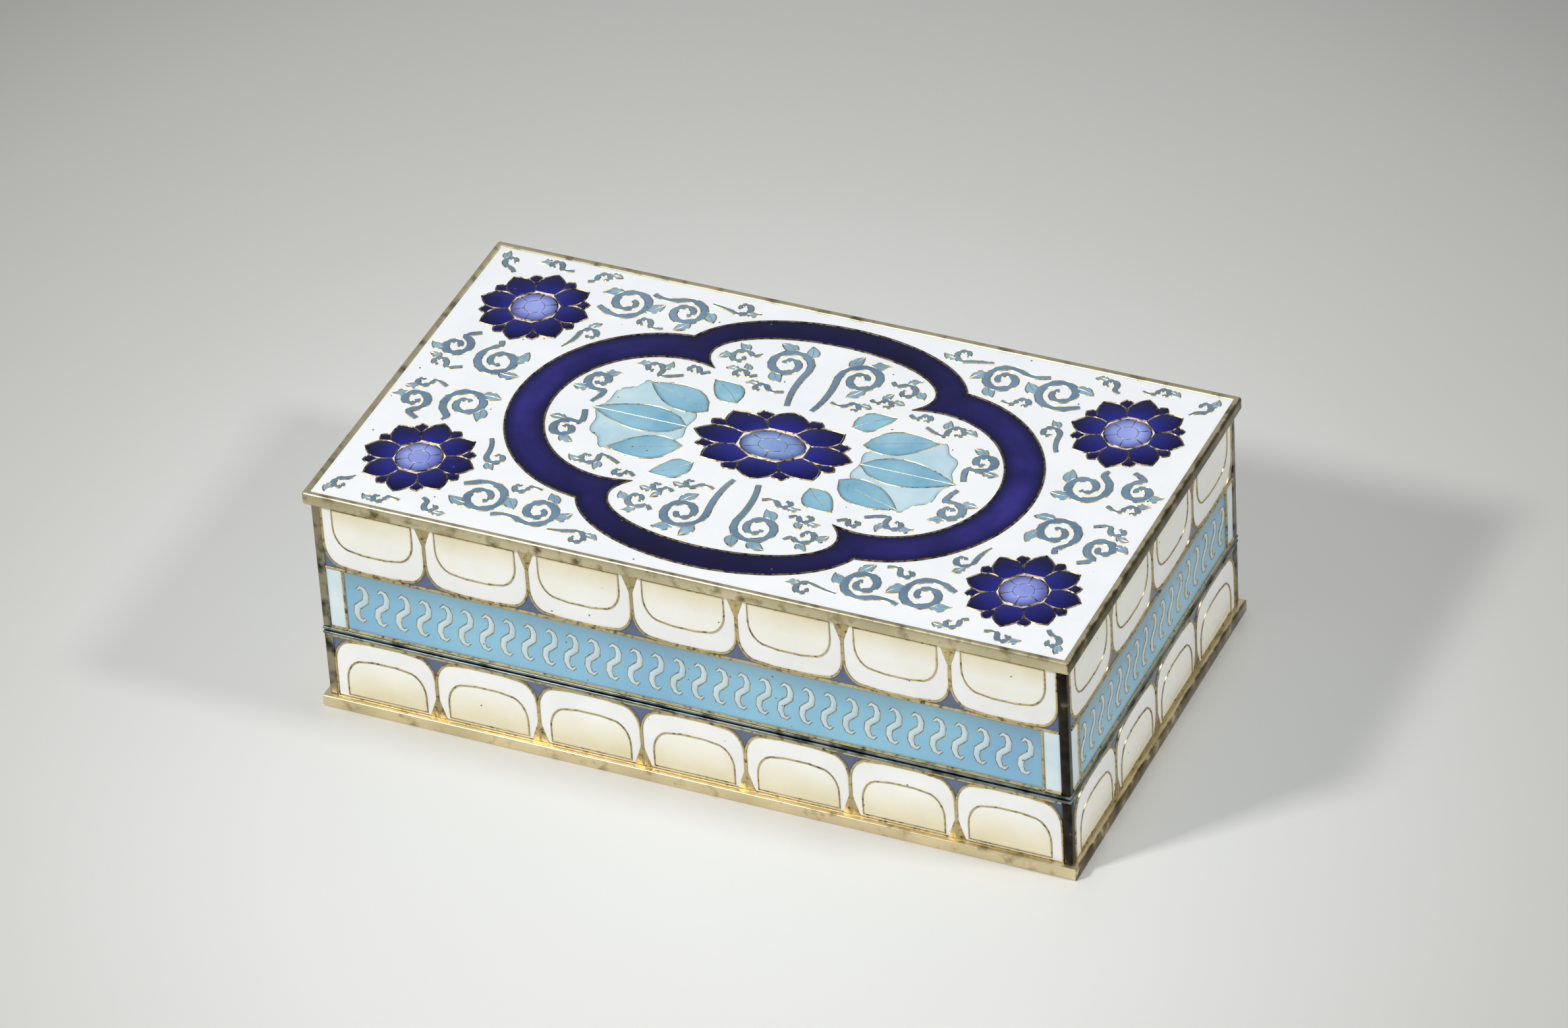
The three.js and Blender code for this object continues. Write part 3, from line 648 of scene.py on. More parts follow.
# %% [markdown]
# ## Cells
# A cell of enamel is a closed outline filled with glass, a little rounded where it meets its wires.
# By hand: add a disc, drag its rim to the drawn outline, extrude it up to a plate, inset the top and
# lift it a hair. Outlines are points in millimetres, anticlockwise.

# %% Drawing cells
CELL_DEPTH = 0.25


def drawing(name):
    """An empty mesh in edit mode, ready for cells."""
    let_go()
    bpy.ops.mesh.primitive_plane_add(size=MM, enter_editmode=True)
    bpy.ops.mesh.delete(type="VERT")
    bpy.ops.mesh.select_mode(type="FACE")
    bpy.context.object.name = name
    bpy.context.object.data.attributes.new("tone", "FLOAT", "POINT")
    return bpy.context.object


def disc(line, level, fill):
    """Adds a disc or a bare ring to the drawing, and drags its rim to an outline."""
    bpy.ops.mesh.select_all(action="DESELECT")
    bpy.ops.mesh.primitive_circle_add(vertices=len(line), fill_type=fill)
    sheet = bmesh.from_edit_mesh(bpy.context.object.data)
    rim = sorted((v for v in sheet.verts if v.select), key=lambda v: math.atan2(v.co.y, v.co.x))
    for corner, (x, y) in zip(rim, line):
        corner.co = (x * MM, y * MM, level * MM)
    bmesh.update_edit_mesh(bpy.context.object.data)


def set_tone(tone_at):
    """Gives all selected points their tone, which may change along x."""
    sheet = bmesh.from_edit_mesh(bpy.context.object.data)
    tone = sheet.verts.layers.float["tone"]
    for corner in sheet.verts:
        if corner.select:
            corner[tone] = tone_at(corner.co.x / MM)
    bmesh.update_edit_mesh(bpy.context.object.data)


def cells(name, lines, level, shoulder, swell=0.04, depth=CELL_DEPTH):
    """A piece with one cell for each outline: a plate with its top edge at a level and a rounded shoulder."""
    piece = drawing(name)
    for line in lines:
        disc(line, level - depth, "NGON")
        pull_up(depth * MM)
        bpy.ops.mesh.inset(thickness=shoulder * MM)
        bpy.ops.transform.translate(value=(0, 0, swell * MM))
        set_tone(lambda x: 1.0)
    let_go()
    return piece


print("a cell is", CELL_DEPTH, "mm deep")

# %% [markdown]
# ## Wires and strokes
# A wire is a line with a round section, so it is drawn as a curve with a bevel and then made a mesh.
# A stroke of enamel is drawn the same way with a flat, six-sided section, and thins out where the
# points of the curve get a smaller radius.

# %% Drawing wires and strokes
FLAT_SECTION = ((-1, 0), (-0.55, -1), (0.55, -1), (1, 0), (0.55, 1), (-0.55, 1))
THIN_WIRE = 0.3  # wires under this get a section with fewer sides


def curve(name, lines, level, taper=lambda share: 1.0):
    """A curve along (points, closed) lines at a level, which still needs its section."""
    let_go()
    bpy.ops.curve.primitive_nurbs_path_add(location=(0, 0, level * MM))
    drawn = bpy.context.object
    drawn.name = name
    drawn.data.use_fill_caps = True
    drawn.data.splines.clear()
    for points, closed in lines:
        line = drawn.data.splines.new("POLY")
        line.points.add(len(points) - 1)
        for k, (x, y) in enumerate(points):
            line.points[k].co = (x * MM, y * MM, 0, 1)
            line.points[k].radius = taper(k / (len(points) - 1))
        line.use_cyclic_u = closed
    return drawn


def make_mesh(drawn):
    bpy.ops.object.convert(target="MESH")
    bpy.ops.object.transform_apply()
    drawn.data.name = drawn.name
    return drawn


def wires(name, lines, width, level):
    drawn = curve(name, lines, level)
    drawn.data.bevel_depth = width * MM / 2
    drawn.data.bevel_resolution = 0 if width < THIN_WIRE else 1
    return make_mesh(drawn)


def strokes(name, lines, width, rise, level, taper):
    """Flat strokes of enamel along open lines. taper(share) gives the width along a line, 1 being full."""
    section_line = [(x * width / 2, y * rise) for x, y in FLAT_SECTION]
    section = curve("section", [(section_line, True)], 0)
    drawn = curve(name, [(line, False) for line in lines], level, taper)
    section.data.dimensions = "2D"
    drawn.data.dimensions = "2D"
    drawn.data.fill_mode = "NONE"
    drawn.data.bevel_mode = "OBJECT"
    drawn.data.bevel_object = section
    make_mesh(drawn)
    bpy.data.objects.remove(section)
    return drawn


print("wires under", THIN_WIRE, "mm get the fewest sides")

# %% [markdown]
# ## Moving and mirroring lines
# The ornament is the same on both sides of its middle lines, so most of it is drawn once and mirrored. A
# mirror image runs the other way round, so it is read backwards to stay anticlockwise. A wire beside a
# stroke is the stroke's own line moved aside, by the same taper as the stroke.

# %% Moving and mirroring lines
PAIR = ((1, 1), (-1, 1))  # a line and its mirror image, as signs of x and y


def moved(line, x, y):
    return [(a + x, b + y) for a, b in line]


def flipped(line, across, along):
    return [(x * across, y * along) for x, y in line]


def mirrored(lines, mirrors):
    """Mirror images of outlines, turned round where needed so that they stay anticlockwise."""
    return [flipped(line, *mirror)[::mirror[0] * mirror[1]] for line in lines for mirror in mirrors]


def beside(line, gap, taper):
    """The line that runs along another at a distance to its left, which thins out with the taper."""
    last = len(line) - 1
    edge = []
    for k, (x, y) in enumerate(line):
        way = (Vector(line[min(k + 1, last)]) - Vector(line[max(k - 1, 0)])).normalized()
        edge.append((x - way.y * gap * taper(k / last), y + way.x * gap * taper(k / last)))
    return edge


print("a pair of lines:", mirrored([[(1, 0), (2, 1)]], PAIR))

# %% [markdown]
# ## The four sides
# All four sides carry the same bands, so each band is modelled flat on the bench, with x along the
# side and y up it, once for a long side and once for a short one. A row of lappets is one lappet and
# an Array modifier. Then the flat piece is stood up, moved to its side, and copied to the other one.

# %% Standing a flat piece on its sides
SIDE_REACH = {"long": (HALF_LENGTH, HALF_WIDTH, 0.0), "short": (HALF_WIDTH, HALF_LENGTH, math.pi / 2)}
LAPPETS = {"long": 7, "short": 4}
RUN = {kind: 2 * (reach[0] - POST_INSET - POST) for kind, reach in SIDE_REACH.items()}
PITCH = {kind: RUN[kind] / LAPPETS[kind] for kind in RUN}


def repeat(piece, count, pitch):
    hold(piece)
    row = piece.modifiers.new("row", "ARRAY")
    row.count = count
    row.use_relative_offset = False
    row.use_constant_offset = True
    row.constant_offset_displace = (pitch * MM, 0, 0)
    bpy.ops.object.modifier_apply(modifier=row.name)
    return piece


def stand(piece, kind):
    """Stands a flat piece on one side of the box and a copy of it on the side across."""
    _, distance, turn = SIDE_REACH[kind]
    upright = Matrix.Rotation(math.pi / 2, 4, "X")
    out = Matrix.Translation((0, -(distance - FACE_INSET) * MM, 0))
    stood = []
    for half_turn in (0.0, math.pi):
        hold(piece)
        bpy.ops.object.duplicate()
        stood.append(bpy.context.object)
        stood[-1].matrix_world = Matrix.Rotation(turn + half_turn, 4, "Z") @ out @ upright
        bpy.ops.object.transform_apply()
    bpy.data.objects.remove(piece)
    return stood


def all_sides(name, model):
    """Joins what model(kind) makes for the long and the short sides."""
    return join(name, [copy for kind in SIDE_REACH for copy in stand(model(kind), kind)])


print("lappet pitch, mm:", {kind: round(pitch, 2) for kind, pitch in PITCH.items()})

# %% [markdown]
# ## Blue panels
# The sky-blue band of the cover runs on behind the lappets, and shows again between their tips. So
# the cover has one blue panel on each side under everything else, and a darker strip behind the tips.
# The base has the same dark blue under its own tips, which stand the other way up. At each end the
# band stops against a pale strip beside the corner post.

# %% Blue panels
PANEL_LEVEL = -0.1
STRIP_LEVEL = -0.05
PANEL_DEPTH = 0.6
PANEL_SHOULDER, PANEL_SWELL = 0.35, 0.03
TIP_STRIP = 4.6
END_STRIP = 2.4
BAND_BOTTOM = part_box("cover_lower_rim")[1].z / MM
COVER_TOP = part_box("cover_top_rim")[0].z / MM
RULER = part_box("cover_lappet_enamel_front")[0].z / MM
BASE_BOTTOM = foot_high.z / MM
BASE_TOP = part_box("base_seat_rim")[0].z / MM


def box_line(half, bottom, top):
    return [(-half, bottom), (half, bottom), (half, top), (-half, top)]


def panels(name, bottom, top, level, depth):
    model = lambda kind: cells(
        name, [box_line(RUN[kind] / 2, bottom, top)], level, PANEL_SHOULDER, PANEL_SWELL, depth)
    return all_sides(name, model)


def band_ends(kind):
    strip = moved(box_line(END_STRIP / 2, BAND_BOTTOM, RULER), (RUN[kind] - END_STRIP) / 2, 0)
    return cells("band_ends", mirrored([strip], PAIR), STRIP_LEVEL, PANEL_SHOULDER, PANEL_SWELL)


sky_panels = panels("cover_sky_panels", BAND_BOTTOM, COVER_TOP, PANEL_LEVEL, PANEL_DEPTH)
finish_piece(sky_panels, "sky_enamel", "cover", "sky_enamel", *four("cover_band_enamel"))
blue_panels = panels("base_blue_panels", BASE_BOTTOM, BASE_TOP, PANEL_LEVEL, PANEL_DEPTH)
finish_piece(blue_panels, "spandrel_enamel", "base", "cobalt_enamel")
spandrels = panels("cover_spandrels", RULER, RULER + TIP_STRIP, STRIP_LEVEL, CELL_DEPTH)
finish_piece(spandrels, "spandrel_enamel", "cover", "cobalt_enamel")
finish_piece(all_sides("cover_band_ends", band_ends), "pale_enamel", "cover", "sky_enamel")

# %% [markdown]
# ## Lappets
# A lappet is a hanging tongue with straight sides, rounded corners and a slightly bowed tip: a white
# border round a cream middle. On the cover they hang from the top edge, on the base they stand up from
# the foot. The right half is drawn from the foot to the tip and mirrored. The cream cell is the same
# outline made smaller.

# %% Lappets
LAPPET_LEVEL = 0.0
TIP_CORNER_WIDTH = 2.6
TIP_CORNER_HEIGHT = 3.6
TIP_BOW = 0.35
CORNER_STEPS = 6
FOOT_INSET, TIP_INSET = 0.05, 0.25
ROWS = {  # heights of the foot and of the tip, and which way the lappets point
    "cover": (COVER_TOP - FOOT_INSET, RULER + TIP_INSET, -1),
    "base": (BASE_BOTTOM + FOOT_INSET, BASE_TOP - TIP_INSET, 1),
}
BORDER_GAPS = (0.2, 0.1, 0.1)  # at the sides, the foot and the tip
CORE_GAPS = (1.7, 0.5, 3.0)
BORDER_SHOULDER = 0.3
CORE_SHOULDER = 0.5
CORE_LEVEL = LAPPET_LEVEL + 0.05


def lappet_line(kind, row, side, foot_gap, tip_gap):
    """Outline of the first lappet of a row on a side."""
    foot_height, tip_height, way = ROWS[row]
    half = PITCH[kind] / 2 - side
    tip_y = tip_height - way * tip_gap
    line = [(half, foot_height + way * foot_gap)]
    for k in range(CORNER_STEPS + 1):
        angle = math.pi / 2 * k / CORNER_STEPS
        drop = TIP_BOW + TIP_CORNER_HEIGHT * (1 - math.sin(angle))
        line.append((half - TIP_CORNER_WIDTH * (1 - math.cos(angle)), tip_y - way * drop))
    line.append(((half - TIP_CORNER_WIDTH) / 2, tip_y - way * TIP_BOW / 4))
    line += [(-x, y) for x, y in reversed(line)]
    return moved(line[::way], (PITCH[kind] - RUN[kind]) / 2, 0)


def lappet_cells(name, row, gaps, level, shoulder):
    def model(kind):
        first = cells(name, [lappet_line(kind, row, *gaps)], level, shoulder)
        return repeat(first, LAPPETS[kind], PITCH[kind])

    return all_sides(name, model)


for row in ROWS:
    borders = lappet_cells(f"{row}_lappet_borders", row, BORDER_GAPS, LAPPET_LEVEL, BORDER_SHOULDER)
    finish_piece(borders, "white_enamel", row, "white_enamel", *four(f"{row}_lappet_enamel"))
    cores = lappet_cells(f"{row}_lappet_cores", row, CORE_GAPS, CORE_LEVEL, CORE_SHOULDER)
    finish_piece(cores, "cream_enamel", row, "cream_enamel")

# %% [markdown]
# ## Wires of the sides
# Each lappet has a wire round its border and one round its cream middle, with a small gilt notch
# between two lappets where they meet the rim. Ruler wires close the tips and the band off, and an
# upright stands at each end of the band. One lappet's wires are drawn, repeated along the side and
# joined to the rulers.

# %% Side wires
SIDE_WIRE = 0.42
FINE_WIRE = 0.3
BORDER_WIRE_GAPS = (0.1, 0, 0)
OUTER_LEVEL, INNER_LEVEL = LAPPET_LEVEL - 0.04, LAPPET_LEVEL + 0.03
RULER_LEVEL = LAPPET_LEVEL - 0.02
NOTCH_HALF, NOTCH_RISE = 1.3, 3.9
NOTCH_LEVEL, NOTCH_SHOULDER, NOTCH_SWELL = LAPPET_LEVEL + 0.06, 0.12, 0.05
RULERS = {"cover": (RULER, BAND_BOTTOM + 0.25), "base": (BASE_TOP - 0.1,)}  # heights


def side_wires(row):
    name = f"{row}_side_wires"
    foot_height, _, way = ROWS[row]

    def model(kind):
        pitch, half = PITCH[kind], RUN[kind] / 2
        outer = wires("outer", [(lappet_line(kind, row, *BORDER_WIRE_GAPS), True)], SIDE_WIRE, OUTER_LEVEL)
        inner = wires("inner", [(lappet_line(kind, row, *CORE_GAPS), True)], FINE_WIRE, INNER_LEVEL)
        corner = [(-NOTCH_HALF, foot_height), (NOTCH_HALF, foot_height), (0, foot_height + way * NOTCH_RISE)]
        corner = moved(corner[::way], pitch - half, 0)
        notch = cells("notch", [corner], NOTCH_LEVEL, NOTCH_SHOULDER, NOTCH_SWELL)
        lappets = repeat(join(name, [outer, inner]), LAPPETS[kind], pitch)
        notches = repeat(notch, LAPPETS[kind] - 1, pitch)
        lines = [([(-half, height), (half, height)], False) for height in RULERS[row]]
        if row == "cover":
            lines += [([(x, BAND_BOTTOM), (x, RULER)], False) for x in (END_STRIP - half, half - END_STRIP)]
        return join(name, [lappets, notches, wires("rulers", lines, SIDE_WIRE, RULER_LEVEL)])

    return all_sides(name, model)


for row in ROWS:
    finish_piece(side_wires(row), "wire_gilt", row, "gilt", *four(f"{row}_wires"))

# %% [markdown]
# ## Scrolls in the blue band
# A wide plain field of enamel would crack in the firing, so it is held by many small scrolls. Each is
# a tall S of pale enamel between two fine wires, drawn with a few points and repeated along the band.
# There are a hundred of them, so each has only a few dozen faces.

# %% Band scrolls
SCROLL_PITCH = 3.1
SCROLL_REACH = 0.95
SCROLL_STRETCH = 1.75
SCROLL_POINTS = 6
SCROLL_WIDTH = 1.0
SCROLL_RISE = 0.12
SCROLL_WIRE = 0.16
SCROLL_WIRE_LEVEL = PANEL_LEVEL + 0.03


def scroll_row(kind):
    """Number of scrolls on a side, and the first of them: two small spirals joined into a tall S."""
    count = int((RUN[kind] - 2 * END_STRIP) // SCROLL_PITCH)
    upper = []
    for k in range(SCROLL_POINTS):
        share = k / (SCROLL_POINTS - 1)
        angle = math.pi * (-0.5 + 1.25 * share)
        radius = SCROLL_REACH * (1 - 0.35 * share)
        upper.append((radius * math.cos(angle), (SCROLL_REACH + radius * math.sin(angle)) * SCROLL_STRETCH))
    scroll = flipped(upper[:0:-1], -1, -1) + upper
    return count, moved(scroll, -(count - 1) * SCROLL_PITCH / 2, (BAND_BOTTOM + RULER) / 2)


def scroll_taper(share):
    return 0.35 + 0.65 * math.sin(math.pi * share)


def scroll_strokes(kind):
    count, line = scroll_row(kind)
    stroke = strokes("stroke", [line], SCROLL_WIDTH, SCROLL_RISE, PANEL_LEVEL, scroll_taper)
    return repeat(stroke, count, SCROLL_PITCH)


def scroll_wires(kind):
    count, line = scroll_row(kind)
    edges = [(beside(line, gap * SCROLL_WIDTH / 2, scroll_taper), False) for gap in (1, -1)]
    return repeat(wires("scroll", edges, SCROLL_WIRE, SCROLL_WIRE_LEVEL), count, SCROLL_PITCH)


finish_piece(all_sides("cover_band_strokes", scroll_strokes), "pale_enamel", "cover", "sky_enamel")
finish_piece(all_sides("cover_band_scrolls", scroll_wires), "wire_gilt", "cover", "gilt")

# %% [markdown]
# ## White ground of the top
# The top is one sheet of white enamel inside the gilt edge. It is a plate with a slightly rounded
# shoulder where it meets the metal. The coloured cells and the wires lie in its surface, so it is
# the first thing to model and the rest is drawn on it.

# %% Top ground
ground_low, ground_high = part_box("top_ground_enamel")
GROUND_X, GROUND_Y = (c / MM for c in ground_high[:2])
GROUND_LEVEL = ground_high.z / MM - 0.06
GROUND_SHOULDER, GROUND_SWELL = 0.5, 0.04
GROUND_DEPTH = (ground_high.z - ground_low.z) / MM - 0.1
CELL_LEVEL = GROUND_LEVEL + 0.03

ground = cells("top_white_ground", [box_line(GROUND_X, -GROUND_Y, GROUND_Y)],
               GROUND_LEVEL - GROUND_SWELL, GROUND_SHOULDER, GROUND_SWELL, GROUND_DEPTH)
finish_piece(ground, "ground_enamel", "cover", "white_enamel", "top_ground_enamel")

# %% [markdown]
# ## Medallion
# The large cobalt band has four lobes: two round ends and two long sides, with a notch between. Each
# lobe is half of an oval, so moving the band's edge in or out only changes the oval's reach. The notch
# is where two ovals cross, and it is found by halving: walk along the end lobe, and keep the half of
# the walk in which it enters the side lobe. Closed loops are bridged into a band with a raised middle.

# %% Medallion outline
END_BAND = 5.3  # width of the band at its end lobes
SIDE_BAND = 4.2  # and at its long lobes
END_APEX, SIDE_APEX = 34.9, 25.9  # middle of the band
NOTCH_X, NOTCH_Y = 18.5, 16.8
WALK = (60, 125)  # degrees along the end lobe, outside and inside the side lobe
LOBE_STEPS = 28
HALVINGS = 30


def medallion_line(share):
    """The four-lobed line: share 1 is the outer edge of the band and -1 the inner one."""
    grow_end, grow_side = share * END_BAND / 2, share * SIDE_BAND / 2
    end_x, end_y = END_APEX - NOTCH_X + grow_end, NOTCH_Y + grow_end
    side_x, side_y = NOTCH_X + grow_side, SIDE_APEX - NOTCH_Y + grow_side
    on_end = lambda turn: (NOTCH_X + end_x * math.cos(turn), end_y * math.sin(turn))
    outside, inside = (math.radians(angle) for angle in WALK)
    for _ in range(HALVINGS):
        turn = (outside + inside) / 2
        x, y = on_end(turn)
        if math.hypot(x / side_x, (y - NOTCH_Y) / side_y) > 1:
            outside = turn
        else:
            inside = turn
    x, y = on_end(turn)
    side_turn = math.atan2((y - NOTCH_Y) / side_y, x / side_x)
    quarter = [on_end(turn * k / LOBE_STEPS) for k in range(LOBE_STEPS)]
    for k in range(LOBE_STEPS):
        angle = side_turn + (math.pi / 2 - side_turn) * k / LOBE_STEPS
        quarter.append((side_x * math.cos(angle), NOTCH_Y + side_y * math.sin(angle)))
    top = quarter + [(0, NOTCH_Y + side_y)] + flipped(quarter[:0:-1], -1, 1)
    return top + flipped(top, -1, -1)


MEDALLION_POINTS = len(medallion_line(0))
print("medallion:", MEDALLION_POINTS, "points, ends at", END_APEX, "mm")

# %% Medallion band and its wires
MEDALLION_WIRE = 0.32
# where each loop lies across the band, its height over the cells, and its tone at the ends
BAND_LOOPS = (
    (0.96, -CELL_DEPTH, 0.0), (0.96, 0.0, 0.0), (0.35, 0.06, 1.0),
    (-0.35, 0.06, 1.0), (-0.96, 0.0, 0.0), (-0.96, -CELL_DEPTH, 0.0),
)

band = drawing("medallion_band")
bpy.ops.mesh.select_mode(type="VERT")
for share, lift, end_tone in BAND_LOOPS:
    disc(medallion_line(share), CELL_LEVEL + lift, "NOTHING")
    set_tone(lambda x: end_tone * (x / END_APEX) ** 2)
sheet = bmesh.from_edit_mesh(band.data)
sheet.verts.ensure_lookup_table()
loops = [sheet.verts[k * MEDALLION_POINTS:(k + 1) * MEDALLION_POINTS] for k in range(len(BAND_LOOPS))]
for inner, outer in zip(loops, loops[1:] + loops[:1]):
    for k in range(MEDALLION_POINTS):
        after = (k + 1) % MEDALLION_POINTS
        sheet.faces.new((inner[k], inner[after], outer[after], outer[k]))
bmesh.update_edit_mesh(band.data)
face_outward()
finish_piece(band, "cobalt_enamel", "cover", "cobalt_enamel", "medallion_enamel")
edges = [(medallion_line(share), True) for share in (1, -1)]
edge_wires = wires("medallion_wires", edges, MEDALLION_WIRE, GROUND_LEVEL)
finish_piece(edge_wires, "dark_gilt", "cover", "gilt", "medallion_outer_wire", "medallion_inner_wire")

# %% [markdown]
# ## Flowers
# Each flower is a ring of eight pointed petals round a pale heart, and the tips of eight sepals show
# between them. A petal is drawn in turns and radii: it starts beside the heart, widens, and closes to
# a point. A sepal starts further out and is pointed at both ends. The middle flower is the same
# drawing stretched to an oval. All petals of one finish are cells of one piece.

# %% Petal and heart outlines
heart_low, heart_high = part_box("corner_flower_heart_br")
HEART_SHARE = (heart_high.x - heart_low.x) / (flower_high.x - flower_low.x)
PETALS = 8
PETAL_STEPS = 7
PETAL_WIDTH = 0.42
SEPAL_WIDTH = 0.105


def petal_half(radius, share):
    return PETAL_WIDTH * radius * (1 - share ** 2.6) ** 1.1


def sepal_half(radius, share):
    return SEPAL_WIDTH * math.sin(math.pi * share ** 1.3)


# turn of the first leaf, where it starts and ends, and half its width
WHORLS = ((0.0, HEART_SHARE + 0.03, 1.0, petal_half), (0.5, 0.69, 0.95, sepal_half))


def petal_line(whorl, number, reach_x, reach_y, gap):
    """Outline of one petal or sepal of a flower at the origin, drawn in shares of the flower's reach."""
    first, start, tip, half_width = whorl
    right_edge = []
    for k in range(PETAL_STEPS + 1):
        share = k / PETAL_STEPS
        radius = start + (tip - gap - start) * share
        right_edge.append((radius, -max(0.0, half_width(radius, share) - gap * 0.5)))
    pointed = right_edge[0][1] == 0.0
    left_edge = flipped(right_edge[-2:0 if pointed else None:-1], 1, -1)
    angle = (first + number) * 2 * math.pi / PETALS
    points = []
    for along, across in right_edge + left_edge:
        x = along * math.cos(angle) - across * math.sin(angle)
        y = along * math.sin(angle) + across * math.cos(angle)
        points.append((x * reach_x, y * reach_y))
    return points


def petal_lines(x, y, reach, gap):
    return [moved(petal_line(whorl, k, *reach, gap), x, y) for whorl in WHORLS for k in range(PETALS)]


def oval_line(x, y, reach, share=1.0, steps=20):
    turns = [2 * math.pi * k / steps for k in range(steps)]
    return moved([(reach[0] * share * math.cos(a), reach[1] * share * math.sin(a)) for a in turns], x, y)


CORNERS = [(x, y, CORNER_REACH) for x in (-CORNER_X, CORNER_X) for y in (-CORNER_Y, CORNER_Y)]
CENTRE = (0, 0, CENTRE_REACH)
print("petal of", len(petal_line(WHORLS[0], 0, 1, 1, 0)), "points")

# %% Flower cells
PETAL_GAP = 0.015  # share of the reach that is left for the wires
PETAL_SHOULDER, PETAL_SWELL = 0.2, 0.05
HEART_SHOULDER, HEART_SWELL = 1.4, 0.07
CORNER_ENDS = ("fl", "fr", "br", "bl")
FLOWERS = (  # name, spots, what its hearts are called, and the CAD nodes of its petals and hearts
    ("corner", CORNERS, "hearts",
     four("corner_flower_enamel", CORNER_ENDS), four("corner_flower_heart", CORNER_ENDS)),
    ("centre", [CENTRE], "boss", ["centre_flower_enamel"], ["centre_flower_heart"]),
)

for flower, spots, heart, petal_nodes, heart_nodes in FLOWERS:
    lines = [line for spot in spots for line in petal_lines(*spot, PETAL_GAP)]
    petals = cells(f"{flower}_flower_petals", lines, CELL_LEVEL, PETAL_SHOULDER, PETAL_SWELL)
    finish_piece(petals, f"{flower}_petal_enamel", "cover", "cobalt_enamel", *petal_nodes)
    lines = [oval_line(*spot, HEART_SHARE) for spot in spots]
    hearts = cells(f"{flower}_flower_{heart}", lines, CELL_LEVEL, HEART_SHOULDER, HEART_SWELL)
    finish_piece(hearts, f"{flower}_heart_enamel", "cover", "periwinkle_enamel", *heart_nodes)

# %% [markdown]
# ## Flower wires
# Every petal has its own wire, and the heart has a ring with a smaller ring inside it, joined by short
# spokes like a seed head. The wires follow the same outlines as the cells, so they are drawn from the
# same functions, a hair outside the glass.

# %% Flower wires
FLOWER_WIRE = 0.28
SEED_SHARE = 0.18
SEED_STEPS = 14
SPOKES = 6


def flower_lines(x, y, reach):
    rings = [oval_line(x, y, reach, HEART_SHARE), oval_line(x, y, reach, SEED_SHARE, SEED_STEPS)]
    lines = [(line, True) for line in petal_lines(x, y, reach, 0.0) + rings]
    for k in range(SPOKES):
        angle = 2 * math.pi * (k + 0.5) / SPOKES
        tip = (reach[0] * math.cos(angle), reach[1] * math.sin(angle))
        spoke = [(tip[0] * share, tip[1] * share) for share in (SEED_SHARE, HEART_SHARE)]
        lines.append((moved(spoke, x, y), False))
    return lines


all_lines = [line for spot in [CENTRE] + CORNERS for line in flower_lines(*spot)]
finish_piece(wires("flower_wires", all_lines, FLOWER_WIRE, GROUND_LEVEL), "dark_gilt", "cover", "gilt",
             "centre_flower_wire", *four("corner_flower_wire", CORNER_ENDS))

# %% [markdown]
# ## Leaf sprays
# Five turquoise leaves fan out on each side of the middle flower, over a pale leaf with a wavy edge. A
# turquoise leaf is a pointed oval between an inner and an outer oval round the flower, with a midrib of
# wire. The pale one is an oval whose reach swings in and out. All are drawn on the right and mirrored
# to the left.

# %% Pale leaves
PAD_X, PAD_REACH_X, PAD_REACH_Y = 18.9, 6.6, 8.4
PAD_WAVES, PAD_SWING, PAD_STEPS = 11, 0.05, 72
PAD_SHOULDER, PAD_SWELL = 0.6, 0.02
PAD_WIRE = 0.22
PAD_WIRE_LEVEL = GROUND_LEVEL - 0.05

pad_line = []
for k in range(PAD_STEPS):
    angle = 2 * math.pi * k / PAD_STEPS
    reach = 1 + PAD_SWING * math.cos(PAD_WAVES * angle)
    pad_line.append((PAD_X + PAD_REACH_X * reach * math.cos(angle), PAD_REACH_Y * reach * math.sin(angle)))
pad_lines = mirrored([pad_line], PAIR)
pads = cells("pale_leaves", pad_lines, GROUND_LEVEL, PAD_SHOULDER, PAD_SWELL)
finish_piece(pads, "pad_enamel", "cover", "turquoise_enamel")
pad_wires = wires("pale_leaf_wires", [(line, True) for line in pad_lines], PAD_WIRE, PAD_WIRE_LEVEL)
finish_piece(pad_wires, "wire_gilt", "cover", "gilt")

# %% Turquoise leaves
SPRAY_INNER = (12.6, 9.6)
SPRAY_OUTER = (26.4, 12.9)
SPRAY = ((-40, 2.0), (-20, 2.6), (0, 2.9), (20, 2.6), (40, 2.0))  # angle and half width of each leaf
SPRAY_BOW = 0.6
SPRAY_SHOULDER, SPRAY_SWELL = 0.45, 0.05
LEAF_STEPS = 8


def on_oval(angle, reach):
    radius = 1 / math.hypot(math.cos(angle) / reach[0], math.sin(angle) / reach[1])
    return Vector((radius * math.cos(angle), radius * math.sin(angle)))


def leaf_line(base, tip, half_width, bow):
    """Outline and midrib of a pointed leaf between two points, which bows to one side."""
    side = Vector((base.y - tip.y, tip.x - base.x)).normalized()
    rib, right_edge, left_edge = [], [], []
    for k in range(LEAF_STEPS + 1):
        share = k / LEAF_STEPS
        spot = base.lerp(tip, share) + side * bow * math.sin(math.pi * share)
        half = half_width * math.sin(math.pi * share ** 0.8) ** 0.9 if 0 < k < LEAF_STEPS else 0.0
        rib.append(tuple(spot))
        right_edge.append(tuple(spot - side * half))
        left_edge.append(tuple(spot + side * half))
    return right_edge + left_edge[-2:0:-1], rib


